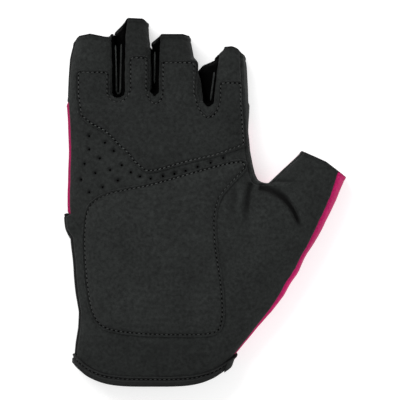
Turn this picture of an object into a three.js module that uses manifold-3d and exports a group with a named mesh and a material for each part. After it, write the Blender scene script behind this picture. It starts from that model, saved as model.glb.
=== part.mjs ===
// A right-hand fingerless training glove, lying on its back with the palm up.
// The fingers point along +Y, the thumb leans towards +X, and the table is the plane z = 0.
// Panels are cut from one hollow hand form, so that neighbours meet at their seams with a small gap.
import * as THREE from "three";
import { mergeVertices } from "three/addons/utils/BufferGeometryUtils.js";
import Module from "manifold-3d";

const wasm = await Module();
wasm.setup();

// Driving dimensions, in millimetres.
const palmWidth = 83; // across the palm, below the fingers
const gloveLength = 170; // from the wrist binding to the ring finger's end
const palmHeight = 27; // the filled palm above the table
const fingerHeight = 21; // finger sleeves at their roots
const thumbHeight = 24.5; // thumb sleeve at its root
const wall = 1.5; // suede and knit panels
const gap = 0.3; // between neighbouring pieces
const gripThickness = 1; // suede patch under the fingers
const padRim = 0.9; // heel pad at its sewn edge
const padCrown = 2.2; // what the heel pad's filling adds
const strapThickness = 2;
const tapeThickness = 1.2; // binding round the wrist
const bindingWidth = 5.4; // binding along the hand
const tapeLap = 3.4; // how far the binding covers the panels
const backLip = 1; // how far the back reaches past the palm at each finger's end
const holeRadius = 0.55; // vent holes through the palm
const sleeveReach = 6; // how far cutting forms run past an open end
const fineness = 0.12; // faces that differ by less are merged

// Shapes are charted as shares: x of palmWidth from the palm's centre line, y of gloveLength from the
// wrist, and heights of the height named beside them.
const x = (share) => share * palmWidth;
const y = (share) => share * gloveLength;

// Where the girth is widest, and how much of the underside lies flat, as shares of the height.
const beltShare = 0.37;
const flattening = 1.22;

// The hand from wrist to crotches. bow is how far the row's middle reaches towards the wrist.
// lift is how much of the binding or the strap lies under it.
const bodyRows = [
  { y: 0.071, left: -0.474, right: 0.388, height: 0.84, bow: 0.06, binding: 1, strap: 0 },
  { y: 0.092, left: -0.471, right: 0.424, height: 0.85, bow: 0.046, binding: 1, strap: 0 },
  { y: 0.116, left: -0.467, right: 0.466, height: 0.87, bow: 0.031, binding: 1, strap: 0 },
  { y: 0.158, left: -0.455, right: 0.541, height: 0.9, bow: 0.014, binding: 0, strap: 0 },
  { y: 0.201, left: -0.452, right: 0.619, height: 0.93, bow: 0.005, binding: 0, strap: 0 },
  { y: 0.247, left: -0.466, right: 0.688, height: 0.97, bow: 0, binding: 0, strap: 1 },
  { y: 0.302, left: -0.477, right: 0.753, height: 0.99, bow: 0, binding: 0, strap: 1 },
  { y: 0.356, left: -0.486, right: 0.765, height: 1, bow: 0, binding: 0, strap: 1 },
  { y: 0.402, left: -0.497, right: 0.724, height: 1, bow: 0, binding: 0, strap: 1 },
  { y: 0.446, left: -0.508, right: 0.665, height: 1, bow: 0, binding: 0, strap: 1 },
  { y: 0.489, left: -0.513, right: 0.612, height: 0.99, bow: 0, binding: 0, strap: 1 },
  { y: 0.527, left: -0.511, right: 0.568, height: 0.98, bow: 0, binding: 0, strap: 0 },
  { y: 0.554, left: -0.509, right: 0.546, height: 0.97, bow: 0, binding: 0, strap: 0 },
  { y: 0.576, left: -0.509, right: 0.528, height: 0.96, bow: 0, binding: 0, strap: 0 },
  { y: 0.604, left: -0.509, right: 0.514, height: 0.95, bow: 0, binding: 0, strap: 0 },
  { y: 0.641, left: -0.508, right: 0.499, height: 0.93, bow: 0, binding: 0, strap: 0 },
  { y: 0.69, left: -0.509, right: 0.49, height: 0.89, bow: 0, binding: 0, strap: 0 },
  { y: 0.735, left: -0.511, right: 0.491, height: 0.84, bow: 0, binding: 0, strap: 0 },
  { y: 0.78, left: -0.511, right: 0.491, height: 0.79, bow: 0, binding: 0, strap: 0 },
];

// The line of the crotches, where the hand ends between the fingers.
const crotchLine = [
  { at: -0.508, y: 0.77 },
  { at: -0.231, y: 0.785 },
  { at: -0.028, y: 0.796 },
  { at: 0.25, y: 0.767 },
  { at: 0.483, y: 0.76 },
];

// Finger sleeves, with each sleeve's rows from root to end. The end line runs from the left side (-1)
// to the right side (1), and is higher in the middle, because the side gussets stop short.
const fingers = [
  {
    name: "little",
    rows: [
      { y: 0.69, left: -0.503, right: -0.25, height: 0.99 },
      { y: 0.777, left: -0.51, right: -0.239, height: 0.98 },
      { y: 0.83, left: -0.507, right: -0.24, height: 0.95 },
      { y: 0.885, left: -0.499, right: -0.242, height: 0.91 },
      { y: 0.918, left: -0.485, right: -0.242, height: 0.89 },
      { y: 0.95, left: -0.468, right: -0.242, height: 0.86 },
    ],
    end: [
      { at: -1, y: 0.93 },
      { at: -0.85, y: 0.945 },
      { at: -0.3, y: 0.951 },
      { at: 0.4, y: 0.943 },
      { at: 0.6, y: 0.942 },
      { at: 1, y: 0.951 },
    ],
  },
  {
    name: "ring",
    rows: [
      { y: 0.7, left: -0.225, right: -0.045, height: 1.03 },
      { y: 0.79, left: -0.232, right: -0.037, height: 1.01 },
      { y: 0.86, left: -0.232, right: -0.037, height: 0.97 },
      { y: 0.91, left: -0.234, right: -0.046, height: 0.93 },
      { y: 0.945, left: -0.234, right: -0.057, height: 0.9 },
      { y: 0.99, left: -0.222, right: -0.064, height: 0.86 },
    ],
    end: [
      { at: -1, y: 0.955 },
      { at: -0.5, y: 0.994 },
      { at: 0.6, y: 0.992 },
      { at: 1, y: 0.982 },
    ],
  },
  {
    name: "middle",
    rows: [
      { y: 0.7, left: -0.01, right: 0.262, height: 1.05 },
      { y: 0.76, left: -0.025, right: 0.262, height: 1.04 },
      { y: 0.79, left: -0.03, right: 0.25, height: 1.03 },
      { y: 0.85, left: -0.03, right: 0.214, height: 0.98 },
      { y: 0.876, left: -0.03, right: 0.214, height: 0.95 },
      { y: 0.891, left: -0.03, right: 0.188, height: 0.935 },
      { y: 0.95, left: -0.03, right: 0.166, height: 0.88 },
    ],
    end: [
      { at: -1, y: 0.925 },
      { at: -0.6, y: 0.95 },
      { at: 0.6, y: 0.95 },
      { at: 1, y: 0.944 },
    ],
  },
  {
    name: "index",
    rows: [
      { y: 0.68, left: 0.285, right: 0.478, height: 1.04 },
      { y: 0.76, left: 0.271, right: 0.491, height: 1.02 },
      { y: 0.79, left: 0.257, right: 0.491, height: 1 },
      { y: 0.85, left: 0.222, right: 0.483, height: 0.95 },
      { y: 0.868, left: 0.25, right: 0.479, height: 0.93 },
      { y: 0.881, left: 0.303, right: 0.475, height: 0.92 },
      { y: 0.913, left: 0.34, right: 0.462, height: 0.89 },
    ],
    end: [
      { at: -1, y: 0.892 },
      { at: -0.68, y: 0.915 },
      { at: 0, y: 0.917 },
      { at: 0.5, y: 0.911 },
      { at: 1, y: 0.892 },
    ],
  },
];

// The thumb sleeve has its own axis, leaning from +Y towards +X. Its y runs along that axis.
const thumbRoot = { x: 0.578, y: 0.337 };
const thumbLean = THREE.MathUtils.degToRad(32);
const thumb = {
  name: "thumb",
  rows: [
    { y: -0.03, left: -0.167, right: 0.13, height: 0.96 },
    { y: 0.03, left: -0.205, right: 0.181, height: 1.04 },
    { y: 0.095, left: -0.222, right: 0.181, height: 1.06 },
    { y: 0.14, left: -0.262, right: 0.177, height: 1.03 },
    { y: 0.168, left: -0.267, right: 0.174, height: 1 },
    { y: 0.187, left: -0.211, right: 0.17, height: 0.98 },
    { y: 0.245, left: -0.18, right: 0.158, height: 0.92 },
    { y: 0.283, left: -0.156, right: 0.145, height: 0.88 },
    { y: 0.31, left: -0.145, right: 0.135, height: 0.84 },
  ],
  end: [
    { at: -1, y: 0.309 },
    { at: 0, y: 0.318 },
    { at: 1, y: 0.312 },
  ],
};

// Creases pressed into the palm side at the thumb's root. Each runs through three points.
const creases = [
  { from: [0.52, 0.545], through: [0.478, 0.505], to: [0.468, 0.43], depth: 0.05, width: 0.028 },
  { from: [0.585, 0.54], through: [0.7, 0.49], to: [0.78, 0.42], depth: 0.09, width: 0.03 },
];

// Side gussets between the fingers, as seen from above: the valley's two edges at three levels.
const valleys = [
  {
    name: "gusset_little_ring",
    levels: [
      { y: 1.02, left: -0.268, right: -0.175 },
      { y: 0.95, left: -0.265, right: -0.194 },
      { y: 0.8, left: -0.257, right: -0.2 },
    ],
    crotch: 0.781,
  },
  {
    name: "gusset_ring_middle",
    levels: [
      { y: 1.02, left: -0.052, right: 0.018 },
      { y: 0.92, left: -0.047, right: -0.006 },
      { y: 0.805, left: -0.044, right: -0.01 },
    ],
    crotch: 0.785,
  },
  {
    name: "gusset_middle_index",
    levels: [
      { y: 1.02, left: 0.205, right: 0.36 },
      { y: 0.88, left: 0.211, right: 0.321 },
      { y: 0.775, left: 0.245, right: 0.295 },
    ],
    crotch: 0.757,
  },
];

// The gusset from the index finger's outer side, round the thumb crotch and up the thumb.
const thumbGussetEdge = [
  [0.44, 1],
  [0.45, 0.88],
  [0.462, 0.75],
  [0.47, 0.66],
  [0.486, 0.6],
  [0.508, 0.56],
  [0.54, 0.5415],
  [0.6, 0.54],
  [0.634, 0.552],
  [0.695, 0.585],
  [0.773, 0.618],
  [0.853, 0.656],
];
const thumbGussetOutside = [
  [0.8, 0.75],
  [0.6, 0.7],
  [0.6, 1],
];

// Heights of the seams above the table, as shares of palmHeight.
const sideSeam = 0.56; // palm to back, along the little finger's side and the wrist, of the local height
const thumbSeam = 0.675; // palm to back, along the thumb's outer side
const fingerSeam = 0.3; // below the finger lobes, where the gussets' outlines rule
const lowSeam = 0.2; // gussets to back
const fingerZone = { left: -0.37, y: 0.74 }; // where fingerSeam holds, and at the thumb gusset
const gussetZone = { left: 0.3, y: 0.5 };

// Lines that part the back: fingers from hand, and hand from the wrist panel.
const knuckleLine = [
  [-0.7, 0.778],
  [-0.5, 0.768],
  [-0.3, 0.75],
  [0.1, 0.725],
  [0.7, 0.71],
];
const wristPanelEdge = [
  [-0.7, 0.472],
  [-0.3, 0.455],
  [0, 0.36],
  [0.16, 0.22],
  [0.2, -0.1],
];

// Grip patch: a lobe on each finger, a round cut at each crotch, and a pointed lower edge.
const gripLobes = [
  { left: -0.464, right: -0.277, top: 0.856, root: 0.79 },
  { left: -0.175, right: -0.061, top: 0.895, root: 0.8 },
  { left: 0.003, right: 0.203, top: 0.882, root: 0.79 },
  { left: 0.322, right: 0.461, top: 0.827, root: 0.77 },
];
const gripCuts = [0.775, 0.771, 0.734];
const gripCorner = 0.035;
const gripLowerEdge = [
  [0.478, 0.651],
  [0.448, 0.644],
  [0.322, 0.621],
  [0.208, 0.608],
  [0.106, 0.595],
  [0.039, 0.585],
  [-0.017, 0.578],
  [-0.056, 0.576],
  [-0.086, 0.579],
  [-0.143, 0.601],
  [-0.193, 0.63],
  [-0.233, 0.647],
  [-0.272, 0.667],
  [-0.312, 0.685],
  [-0.383, 0.704],
  [-0.45, 0.731],
];

// Heel pad outline, round from its upper left corner.
const padOutline = [
  [-0.375, 0.503],
  [-0.294, 0.526],
  [-0.194, 0.538],
  [-0.053, 0.552],
  [0.1, 0.573],
  [0.258, 0.595],
  [0.372, 0.609],
  [0.444, 0.614],
  [0.478, 0.606],
  [0.475, 0.587],
  [0.447, 0.568],
  [0.394, 0.541],
  [0.344, 0.51],
  [0.319, 0.473],
  [0.314, 0.435],
  [0.322, 0.372],
  [0.344, 0.303],
  [0.358, 0.234],
  [0.353, 0.177],
  [0.314, 0.147],
  [0.222, 0.135],
  [0, 0.136],
  [-0.169, 0.144],
  [-0.3, 0.16],
  [-0.367, 0.196],
  [-0.4, 0.247],
  [-0.422, 0.321],
  [-0.428, 0.383],
  [-0.425, 0.435],
  [-0.411, 0.476],
];
const padCentre = [0.04, 0.41];
const padSeat = 1.5; // how deep the pad's form starts before the palm is taken off it

// Vent holes between the grip patch and the heel pad.
const ventHoles = [
  [-0.394, 0.677],
  [-0.304, 0.659],
  [-0.256, 0.637],
  [-0.394, 0.641],
  [-0.334, 0.617],
  [-0.42, 0.602],
  [-0.211, 0.598],
  [-0.276, 0.585],
  [-0.16, 0.579],
  [-0.359, 0.577],
  [-0.109, 0.568],
  [-0.233, 0.557],
  [-0.439, 0.559],
  [-0.05, 0.562],
  [0.018, 0.569],
  [-0.318, 0.539],
  [-0.393, 0.525],
  [0.082, 0.575],
  [0.144, 0.583],
  [0.21, 0.594],
  [0.283, 0.605],
  [0.353, 0.618],
];

// Closure strap on the back, from the little finger's side across the wrist.
const strapOutline = [
  [-0.7, 0.463],
  [-0.4, 0.459],
  [0.2, 0.412],
  [0.34, 0.385],
  [0.365, 0.335],
  [0.34, 0.285],
  [0.2, 0.262],
  [-0.4, 0.258],
  [-0.7, 0.258],
];
// How high the strap's root climbs the side, as shares of palmHeight, along y.
const strapRoot = [
  { y: 0.2, top: 0.13 },
  { y: 0.394, top: 0.13 },
  { y: 0.412, top: 0.5 },
  { y: 0.5, top: 0.54 },
];
const strapLiftEdge = { full: 0.46, none: 0.57 };
const overlapTab = { left: 0.345, right: 0.412 };

const smooth = (t) => {
  const c = THREE.MathUtils.clamp(t, 0, 1);
  return c * c * (3 - 2 * c);
};

// The value of a table's column at a place, straight between its rows.
function along(table, key, value, at) {
  let i = 1;
  while (i < table.length - 1 && table[i][key] < at) i += 1;
  const [a, b] = [table[i - 1], table[i]];
  const t = THREE.MathUtils.clamp((at - a[key]) / (b[key] - a[key]), 0, 1);
  return a[value] + (b[value] - a[value]) * t;
}

// A row between two others.
function between(a, b, t) {
  return Object.fromEntries(Object.keys(a).map((key) => [key, a[key] + (b[key] - a[key]) * t]));
}

const vector = ([sx, sy]) => new THREE.Vector2(x(sx), y(sy));

// A closed or open outline through charted points.
function outline(points, closed, steps) {
  const knots = points.map((p) => {
    const v = vector(p);
    return new THREE.Vector3(v.x, v.y, 0);
  });
  const curve = new THREE.CatmullRomCurve3(knots, closed, "centripetal");
  return curve.getPoints(steps).map((p) => new THREE.Vector2(p.x, p.y));
}

const creaseLines = creases.map((c) => ({
  points: new THREE.QuadraticBezierCurve(vector(c.from), vector(c.through), vector(c.to)).getPoints(12),
  depth: c.depth * palmHeight,
  width: x(c.width),
}));

// How far the creases press the palm side down at a place. They fade towards their ends.
function creaseDepth(px, py) {
  let depth = 0;
  for (const line of creaseLines) {
    const last = line.points.length - 1;
    line.points.forEach((p, i) => {
      const fade = Math.sin((Math.PI * (i + 0.5)) / (last + 1));
      const near = Math.hypot(px - p.x, py - p.y) / line.width;
      depth = Math.max(depth, line.depth * fade * Math.exp(-near * near));
    });
  }
  return depth;
}

// One hollow form's skin, as a closed tube of sections. grow moves the skin outwards all round.
// reach.start and reach.end lengthen it past its open ends.
function sleeve(form, grow, reach = { start: 0, end: 0 }) {
  const { rows, place, height, columns, upper, lower } = form;
  const shaped = form.endSteps ? rows.slice(0, -1) : rows;
  const tube = shaped.map((row, i) => ({ row, share: 0, first: i === 0 }));
  const [last, tip] = rows.slice(-2);
  for (const share of form.endSteps || []) tube.push({ row: between(last, tip, share), share });
  const positions = [];
  for (const { row, share, first } of tube) {
    const tall = row.height * height;
    const belt = tall * beltShare;
    for (let j = 0; j < columns; j += 1) {
      const angle = (2 * Math.PI * j) / columns;
      const [c, s] = [Math.cos(angle), Math.sin(angle)];
      const power = 2 / (s >= 0 ? upper : lower);
      const u = Math.sign(c) * Math.abs(c) ** power;
      const w = Math.abs(s) ** power;
      const half = x(row.right - row.left) / 2 + grow;
      let px = x(row.left + row.right) / 2 + u * half;
      let py = y(row.y - (row.bow || 0) * (1 - u ** 4));
      const lip = s < 0 ? backLip * Math.min(1, 2 * w) : 0;
      if (share > 0) {
        const from = y(last.y);
        const end = form.endLine(u, px) + (form.openEnd ? lip : grow) + reach.end;
        py = from + (end - from) * share;
      }
      if (first) py -= reach.start;
      [px, py] = place(px, py);
      let pz = belt + w * (tall - belt + grow);
      if (s < 0) {
        const floor = form.lift(row, px) - grow;
        pz = Math.max(belt - w * (belt * flattening + grow), floor);
      } else {
        pz -= creaseDepth(px, py) * w;
      }
      positions.push(px, py, pz);
    }
  }
  return closedTube(positions, columns, tube.length);
}

// Joins rings of points into a closed body. Each end is closed by strips between top and bottom.
function closedTube(positions, columns, rings) {
  const indices = [];
  for (let i = 0; i + 1 < rings; i += 1) {
    for (let j = 0; j < columns; j += 1) {
      const [a, b] = [i * columns + j, i * columns + ((j + 1) % columns)];
      indices.push(a, b, a + columns, b, b + columns, a + columns);
    }
  }
  for (const ring of [0, rings - 1]) {
    const tri = (a, b, c) => {
      if (a === b || b === c || c === a) return;
      const corners = [a, b, c].map((k) => ring * columns + k);
      indices.push(...(ring === 0 ? corners.reverse() : corners));
    };
    for (let j = 0; j < columns / 2; j += 1) {
      const [over, under] = [(columns - j) % columns, columns - j - 1];
      tri(j, j + 1, over);
      tri(j + 1, under, over);
    }
  }
  return solid(positions, indices);
}

function solid(positions, indices) {
  const made = new wasm.Manifold(
    new wasm.Mesh({
      numProp: 3,
      vertProperties: new Float32Array(positions),
      triVerts: new Uint32Array(indices),
    }),
  );
  if (made.volume() > 0) return made;
  const turned = indices.map((_, i) => indices[3 * Math.floor(i / 3) + (2 - (i % 3))]);
  return solid(positions, turned);
}

// A solid from a closed three.js geometry.
function solidFrom(geometry) {
  const bare = geometry.clone();
  bare.deleteAttribute("normal");
  bare.deleteAttribute("uv");
  const merged = mergeVertices(bare, 1e-3);
  return solid(Array.from(merged.attributes.position.array), Array.from(merged.index.array));
}

// An upright prism over an outline, from z = low to z = high.
function prism(points, low, high) {
  const shape = new THREE.Shape(points);
  const geometry = new THREE.ExtrudeGeometry(shape, { depth: high - low, bevelEnabled: false });
  return solidFrom(geometry.translate(0, 0, low));
}

// An outline moved outwards by a distance.
function grown(points, distance) {
  const turn = THREE.ShapeUtils.isClockWise(points) ? -1 : 1;
  return points.map((p, i) => {
    const before = points[(i + points.length - 1) % points.length];
    const after = points[(i + 1) % points.length];
    const side = after.clone().sub(before).normalize();
    return new THREE.Vector2(p.x + turn * side.y * distance, p.y - turn * side.x * distance);
  });
}

const noLift = () => 0;
const straight = (px, py) => [px, py];
const strapLift = (px) => {
  const { full, none } = strapLiftEdge;
  return 1 - smooth((px / palmWidth - full) / (none - full));
};
const bodyForm = {
  rows: bodyRows,
  height: palmHeight,
  columns: 32,
  upper: 2.6,
  lower: 3,
  endSteps: [0.5, 1],
  endLine: (u, px) => y(along(crotchLine, "at", "y", px / palmWidth)),
  openEnd: false,
  lift: (row, px) =>
    row.binding * (gap + tapeThickness) + row.strap * strapLift(px) * (gap + strapThickness),
  place: straight,
};

const lineAcross = (line) => (u) => y(along(line, "at", "y", u));
const fingerForms = fingers.map((finger) => ({
  rows: finger.rows,
  height: fingerHeight,
  columns: 20,
  upper: 2.3,
  lower: 3,
  endSteps: [0.5, 1],
  endLine: lineAcross(finger.end),
  openEnd: true,
  lift: noLift,
  place: straight,
}));

const thumbForm = {
  rows: thumb.rows,
  height: thumbHeight,
  columns: 24,
  upper: 2.3,
  lower: 3,
  endSteps: [0.5, 1],
  endLine: lineAcross(thumb.end),
  openEnd: true,
  lift: noLift,
  place: (across, up) => [
    x(thumbRoot.x) + across * Math.cos(thumbLean) + up * Math.sin(thumbLean),
    y(thumbRoot.y) - across * Math.sin(thumbLean) + up * Math.cos(thumbLean),
  ],
};
const tubeForms = [...fingerForms, thumbForm];

const union = (solids) => solids.reduce((a, b) => a.add(b));

// The whole hand form's skin, moved outwards by grow.
const handSkin = (grow) => union([bodyForm, ...tubeForms].map((form) => sleeve(form, grow)));

// The hollow that the hand fills, open past the wrist and every finger's end.
function handHollow() {
  const body = sleeve(bodyForm, -wall, { start: sleeveReach, end: 0 });
  const tubes = tubeForms.map((form) => sleeve(form, -wall, { start: 0, end: sleeveReach }));
  return union([body, ...tubes]);
}

// Height of the seam between palm side and back, over any place.
function seamHeight(px, py) {
  const [across, up] = [px - x(thumbRoot.x), py - y(thumbRoot.y)];
  const outThumb = across * Math.sin(thumbLean) + up * Math.cos(thumbLean);
  const rise = px > x(0.45) ? smooth(outThumb / y(0.3) + 0.4) : 0;
  const overThumb = across * Math.cos(thumbLean) - up * Math.sin(thumbLean);
  const atFingers = py > y(fingerZone.y) && px > x(fingerZone.left);
  const atGusset = py > y(gussetZone.y) && px > x(gussetZone.left);
  const low = (atFingers || atGusset) && overThumb < 0;
  const side = sideSeam * along(bodyRows, "y", "height", py / gloveLength);
  return palmHeight * (low ? fingerSeam : side + (thumbSeam - side) * rise);
}

// Everything above the seams, from a net of seam heights, with its lower face moved by shift.
function aboveSeams(shift) {
  const [west, east, south, north] = [x(-0.8), x(1.3), y(-0.1), y(1.15)];
  const [across, up] = [42, 44];
  const top = palmHeight * 3;
  const positions = [];
  for (const isTop of [false, true]) {
    for (let i = 0; i <= up; i += 1) {
      for (let j = 0; j <= across; j += 1) {
        const px = west + ((east - west) * j) / across;
        const py = south + ((north - south) * i) / up;
        positions.push(px, py, isTop ? top : seamHeight(px, py) + shift);
      }
    }
  }
  const net = across + 1;
  const layer = net * (up + 1);
  const indices = [];
  const quad = (a, b, c, d) => indices.push(a, b, c, a, c, d);
  for (let i = 0; i < up; i += 1) {
    for (let j = 0; j < across; j += 1) {
      const a = i * net + j;
      quad(a, a + net, a + net + 1, a + 1);
      quad(layer + a, layer + a + 1, layer + a + net + 1, layer + a + net);
    }
  }
  for (let j = 0; j < across; j += 1) {
    const b = up * net + j;
    quad(j, j + 1, layer + j + 1, layer + j);
    quad(b + 1, b, layer + b, layer + b + 1);
  }
  for (let i = 0; i < up; i += 1) {
    const [a, b] = [i * net, i * net + across];
    quad(a + net, a, layer + a, layer + a + net);
    quad(b, b + net, layer + b + net, layer + b);
  }
  return solid(positions, indices);
}

// A valley's outline, with a round foot at its crotch.
function valleyOutline({ levels, crotch }) {
  const foot = levels[levels.length - 1];
  const steps = 6;
  const points = levels.map((l) => vector([l.left, l.y]));
  for (let i = 1; i < steps; i += 1) {
    const angle = (Math.PI * i) / steps;
    const middle = (foot.left + foot.right) / 2;
    const half = (foot.right - foot.left) / 2;
    points.push(vector([middle - half * Math.cos(angle), foot.y - (foot.y - crotch) * Math.sin(angle)]));
  }
  points.push(...levels.map((l) => vector([l.right, l.y])).reverse());
  return points;
}

const gussetOutlines = [
  ...valleys.map((v) => ({ name: v.name, points: valleyOutline(v) })),
  {
    name: "gusset_index_thumb",
    points: [...outline(thumbGussetEdge, false, 40), ...thumbGussetOutside.map(vector)],
  },
];

// The grip patch's outline: lobes with round corners, round crotch cuts and a smooth lower edge.
function gripOutline() {
  const shape = new THREE.Shape();
  const corner = x(gripCorner);
  gripLobes.forEach((lobe, i) => {
    const [left, right, top, root] = [x(lobe.left), x(lobe.right), y(lobe.top), y(lobe.root)];
    if (i === 0) shape.moveTo(left, root);
    shape.lineTo(left, top - corner);
    shape.quadraticCurveTo(left, top, left + corner, top);
    shape.lineTo(right - corner, top);
    shape.quadraticCurveTo(right, top, right, top - corner);
    shape.lineTo(right, root);
    const next = gripLobes[i + 1];
    if (!next) return;
    const cut = 2 * y(gripCuts[i]) - (root + y(next.root)) / 2;
    shape.quadraticCurveTo((right + x(next.left)) / 2, cut, x(next.left), y(next.root));
  });
  return [...shape.getPoints(5), ...outline(gripLowerEdge, false, 22)];
}

// Height of the bare palm at a place on the hand, worked out as its sections are.
function palmTop(px, py) {
  const at = py / gloveLength;
  const value = (key) => along(bodyRows, "y", key, at);
  const half = x(value("right") - value("left")) / 2;
  const u = Math.min(1, Math.abs(px - x(value("left") + value("right")) / 2) / half);
  const tall = value("height") * palmHeight;
  const belt = tall * beltShare;
  const w = (1 - u ** bodyForm.upper) ** (1 / bodyForm.upper);
  return belt + w * (tall - belt) - creaseDepth(px, py) * w;
}

// The heel pad: rings from its outline to its centre, seated on the palm and crowned.
function heelPad(skin) {
  const rim = outline(padOutline, true, 60).slice(0, -1);
  const centre = vector(padCentre);
  const shares = [0, 0.05, 0.12, 0.24, 0.45, 0.7];
  const positions = [];
  for (const side of ["under", "over"]) {
    for (const share of shares) {
      const crown = padRim + padCrown * smooth(share / 0.24);
      for (const p of rim) {
        const q = p.clone().lerp(centre, share);
        positions.push(q.x, q.y, palmTop(q.x, q.y) + (side === "over" ? gap + crown : -padSeat));
      }
    }
    const thick = side === "over" ? gap + padRim + padCrown : -padSeat;
    positions.push(centre.x, centre.y, palmTop(centre.x, centre.y) + thick);
  }
  const n = rim.length;
  const layer = n * shares.length + 1;
  const indices = [];
  for (const [base, turn] of [[0, false], [layer, true]]) {
    const tri = (a, b, c) => indices.push(...(turn ? [a, c, b] : [a, b, c]));
    for (let i = 0; i + 1 < shares.length; i += 1) {
      for (let j = 0; j < n; j += 1) {
        const [a, b] = [base + i * n + j, base + i * n + ((j + 1) % n)];
        tri(a, b, a + n);
        tri(b, b + n, a + n);
      }
    }
    for (let j = 0; j < n; j += 1) {
      const a = base + (shares.length - 1) * n;
      tri(a + j, a + ((j + 1) % n), base + layer - 1);
    }
  }
  for (let j = 0; j < n; j += 1) {
    const k = (j + 1) % n;
    indices.push(j, layer + j, k, k, layer + j, layer + k);
  }
  return solid(positions, indices).subtract(skin);
}

// Part of the body form between the wrist's edge and a line above it, both bowed alike.
function wristBand(grow, below, above) {
  const steps = 3;
  const edge = bodyRows[0];
  const rows = [];
  for (let i = 0; i <= steps; i += 1) {
    const at = edge.y + (-below + ((above + below) * i) / steps) / gloveLength;
    const inside = Math.max(at, edge.y);
    const row = { y: at, binding: 1, strap: 0 };
    for (const key of ["left", "right", "height", "bow"]) row[key] = along(bodyRows, "y", key, inside);
    rows.push(row);
  }
  const form = { ...bodyForm, rows, endSteps: null };
  return sleeve(form, grow);
}

// The binding: a tape folded over the panels' edge at the wrist.
const tapeBelow = bindingWidth - tapeLap;
function wristBinding() {
  const far = bindingWidth + sleeveReach;
  const outside = wristBand(gap + tapeThickness, tapeBelow, tapeLap);
  const inside = wristBand(-wall - gap - tapeThickness, far, far);
  const slotOutside = wristBand(gap, gap, far);
  const slotInside = wristBand(-wall - gap, far, far + sleeveReach);
  return outside.subtract(inside).subtract(slotOutside.subtract(slotInside));
}

// The binding's loose end, lapped over itself on the thumb's side.
function bindingOverlap() {
  const skin = gap + tapeThickness;
  const outside = wristBand(skin + gap + tapeThickness, tapeBelow - gap, tapeLap + gap);
  const inside = wristBand(skin + gap, bindingWidth, bindingWidth * 2);
  const { left, right } = overlapTab;
  const end = [vector([left, -0.1]), vector([right, -0.1]), vector([right, 0.2]), vector([left, 0.2])];
  return outside.subtract(inside).intersect(prism(end, palmHeight * lowSeam, palmHeight * 2));
}

// Everything under the strap's root line, as an extrusion along x.
function underStrapRoot() {
  const points = strapRoot.map((p) => new THREE.Vector2(y(p.y), palmHeight * p.top));
  points.push(new THREE.Vector2(points[points.length - 1].x, -palmHeight));
  points.push(new THREE.Vector2(points[0].x, -palmHeight));
  const geometry = new THREE.ExtrudeGeometry(new THREE.Shape(points), {
    depth: palmWidth * 2,
    bevelEnabled: false,
  });
  const turn = new THREE.Matrix4().makeBasis(
    new THREE.Vector3(0, 1, 0),
    new THREE.Vector3(0, 0, 1),
    new THREE.Vector3(1, 0, 0),
  );
  return solidFrom(geometry.applyMatrix4(turn).translate(-palmWidth, 0, 0));
}

function closureStrap(skin) {
  const band = prism(outline(strapOutline, true, 40).slice(0, -1), -palmHeight, palmHeight);
  const west = underStrapRoot();
  return handSkin(gap + strapThickness).subtract(skin).intersect(band).intersect(west);
}

// The palm's vent holes, as prisms.
function vents() {
  const sides = 6;
  return union(
    ventHoles.map((p) => {
      const c = vector(p);
      const ring = [];
      for (let i = 0; i < sides; i += 1) {
        const a = (2 * Math.PI * i) / sides;
        ring.push(new THREE.Vector2(c.x + holeRadius * Math.cos(a), c.y + holeRadius * Math.sin(a)));
      }
      return prism(ring, palmHeight * fingerSeam, palmHeight * 2);
    }),
  );
}

const high = palmHeight * 3;
const shell = handSkin(0).subtract(handHollow());
const skinForPatches = handSkin(gap);
const low = palmHeight * lowSeam;
const openGussets = union(gussetOutlines.map((g) => prism(grown(g.points, gap), low, high)));
const upperShell = shell.intersect(aboveSeams(gap / 2));
const palm = upperShell.subtract(openGussets).subtract(vents());

const openAbove = union(gussetOutlines.map((g) => prism(grown(g.points, gap), low - gap, high)));
const backShell = shell.subtract(aboveSeams(-gap / 2)).subtract(openAbove);

// The part of the plane on one side of a line, as a prism. shift moves the line's edge.
function side(line, closing, shift) {
  const points = [...outline(line, false, 16), ...closing.map(vector)];
  return prism(grown(points, shift), -palmHeight, high);
}
const fingerSide = (shift) => side(knuckleLine, [[1.5, 0.71], [1.5, 1.3], [-0.7, 1.3]], shift);
const wristSide = (shift) => side(wristPanelEdge, [[-0.7, -0.1]], shift);

const fingerBack = backShell.intersect(fingerSide(-gap / 2));
const handBack = backShell.subtract(fingerSide(gap / 2));
const wristPanel = handBack.intersect(wristSide(-gap / 2));
const backPanel = handBack.subtract(wristSide(gap / 2));

const gripPatch = handSkin(gap + gripThickness)
  .subtract(skinForPatches)
  .intersect(prism(gripOutline(), palmHeight * sideSeam, high));

// Colours and finish.
const cloth = (color, roughness) => new THREE.MeshStandardMaterial({ color, roughness, metalness: 0 });
const suede = cloth(0x2a2c2b, 0.95);
const blackKnit = cloth(0x0c0d0d, 0.9);
const magentaKnit = cloth(0xb8205c, 0.8);
const tape = cloth(0x1d1f1e, 0.75);

const root = new THREE.Group();

function piece(name, made, material) {
  const [body] = made.simplify(fineness).decompose().sort((a, b) => b.volume() - a.volume());
  const mesh = body.getMesh();
  const geometry = new THREE.BufferGeometry();
  geometry.setAttribute("position", new THREE.BufferAttribute(mesh.vertProperties, 3));
  geometry.setIndex(new THREE.BufferAttribute(mesh.triVerts, 1));
  geometry.computeVertexNormals();
  const node = new THREE.Mesh(geometry, material);
  node.name = name;
  root.add(node);
}

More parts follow.
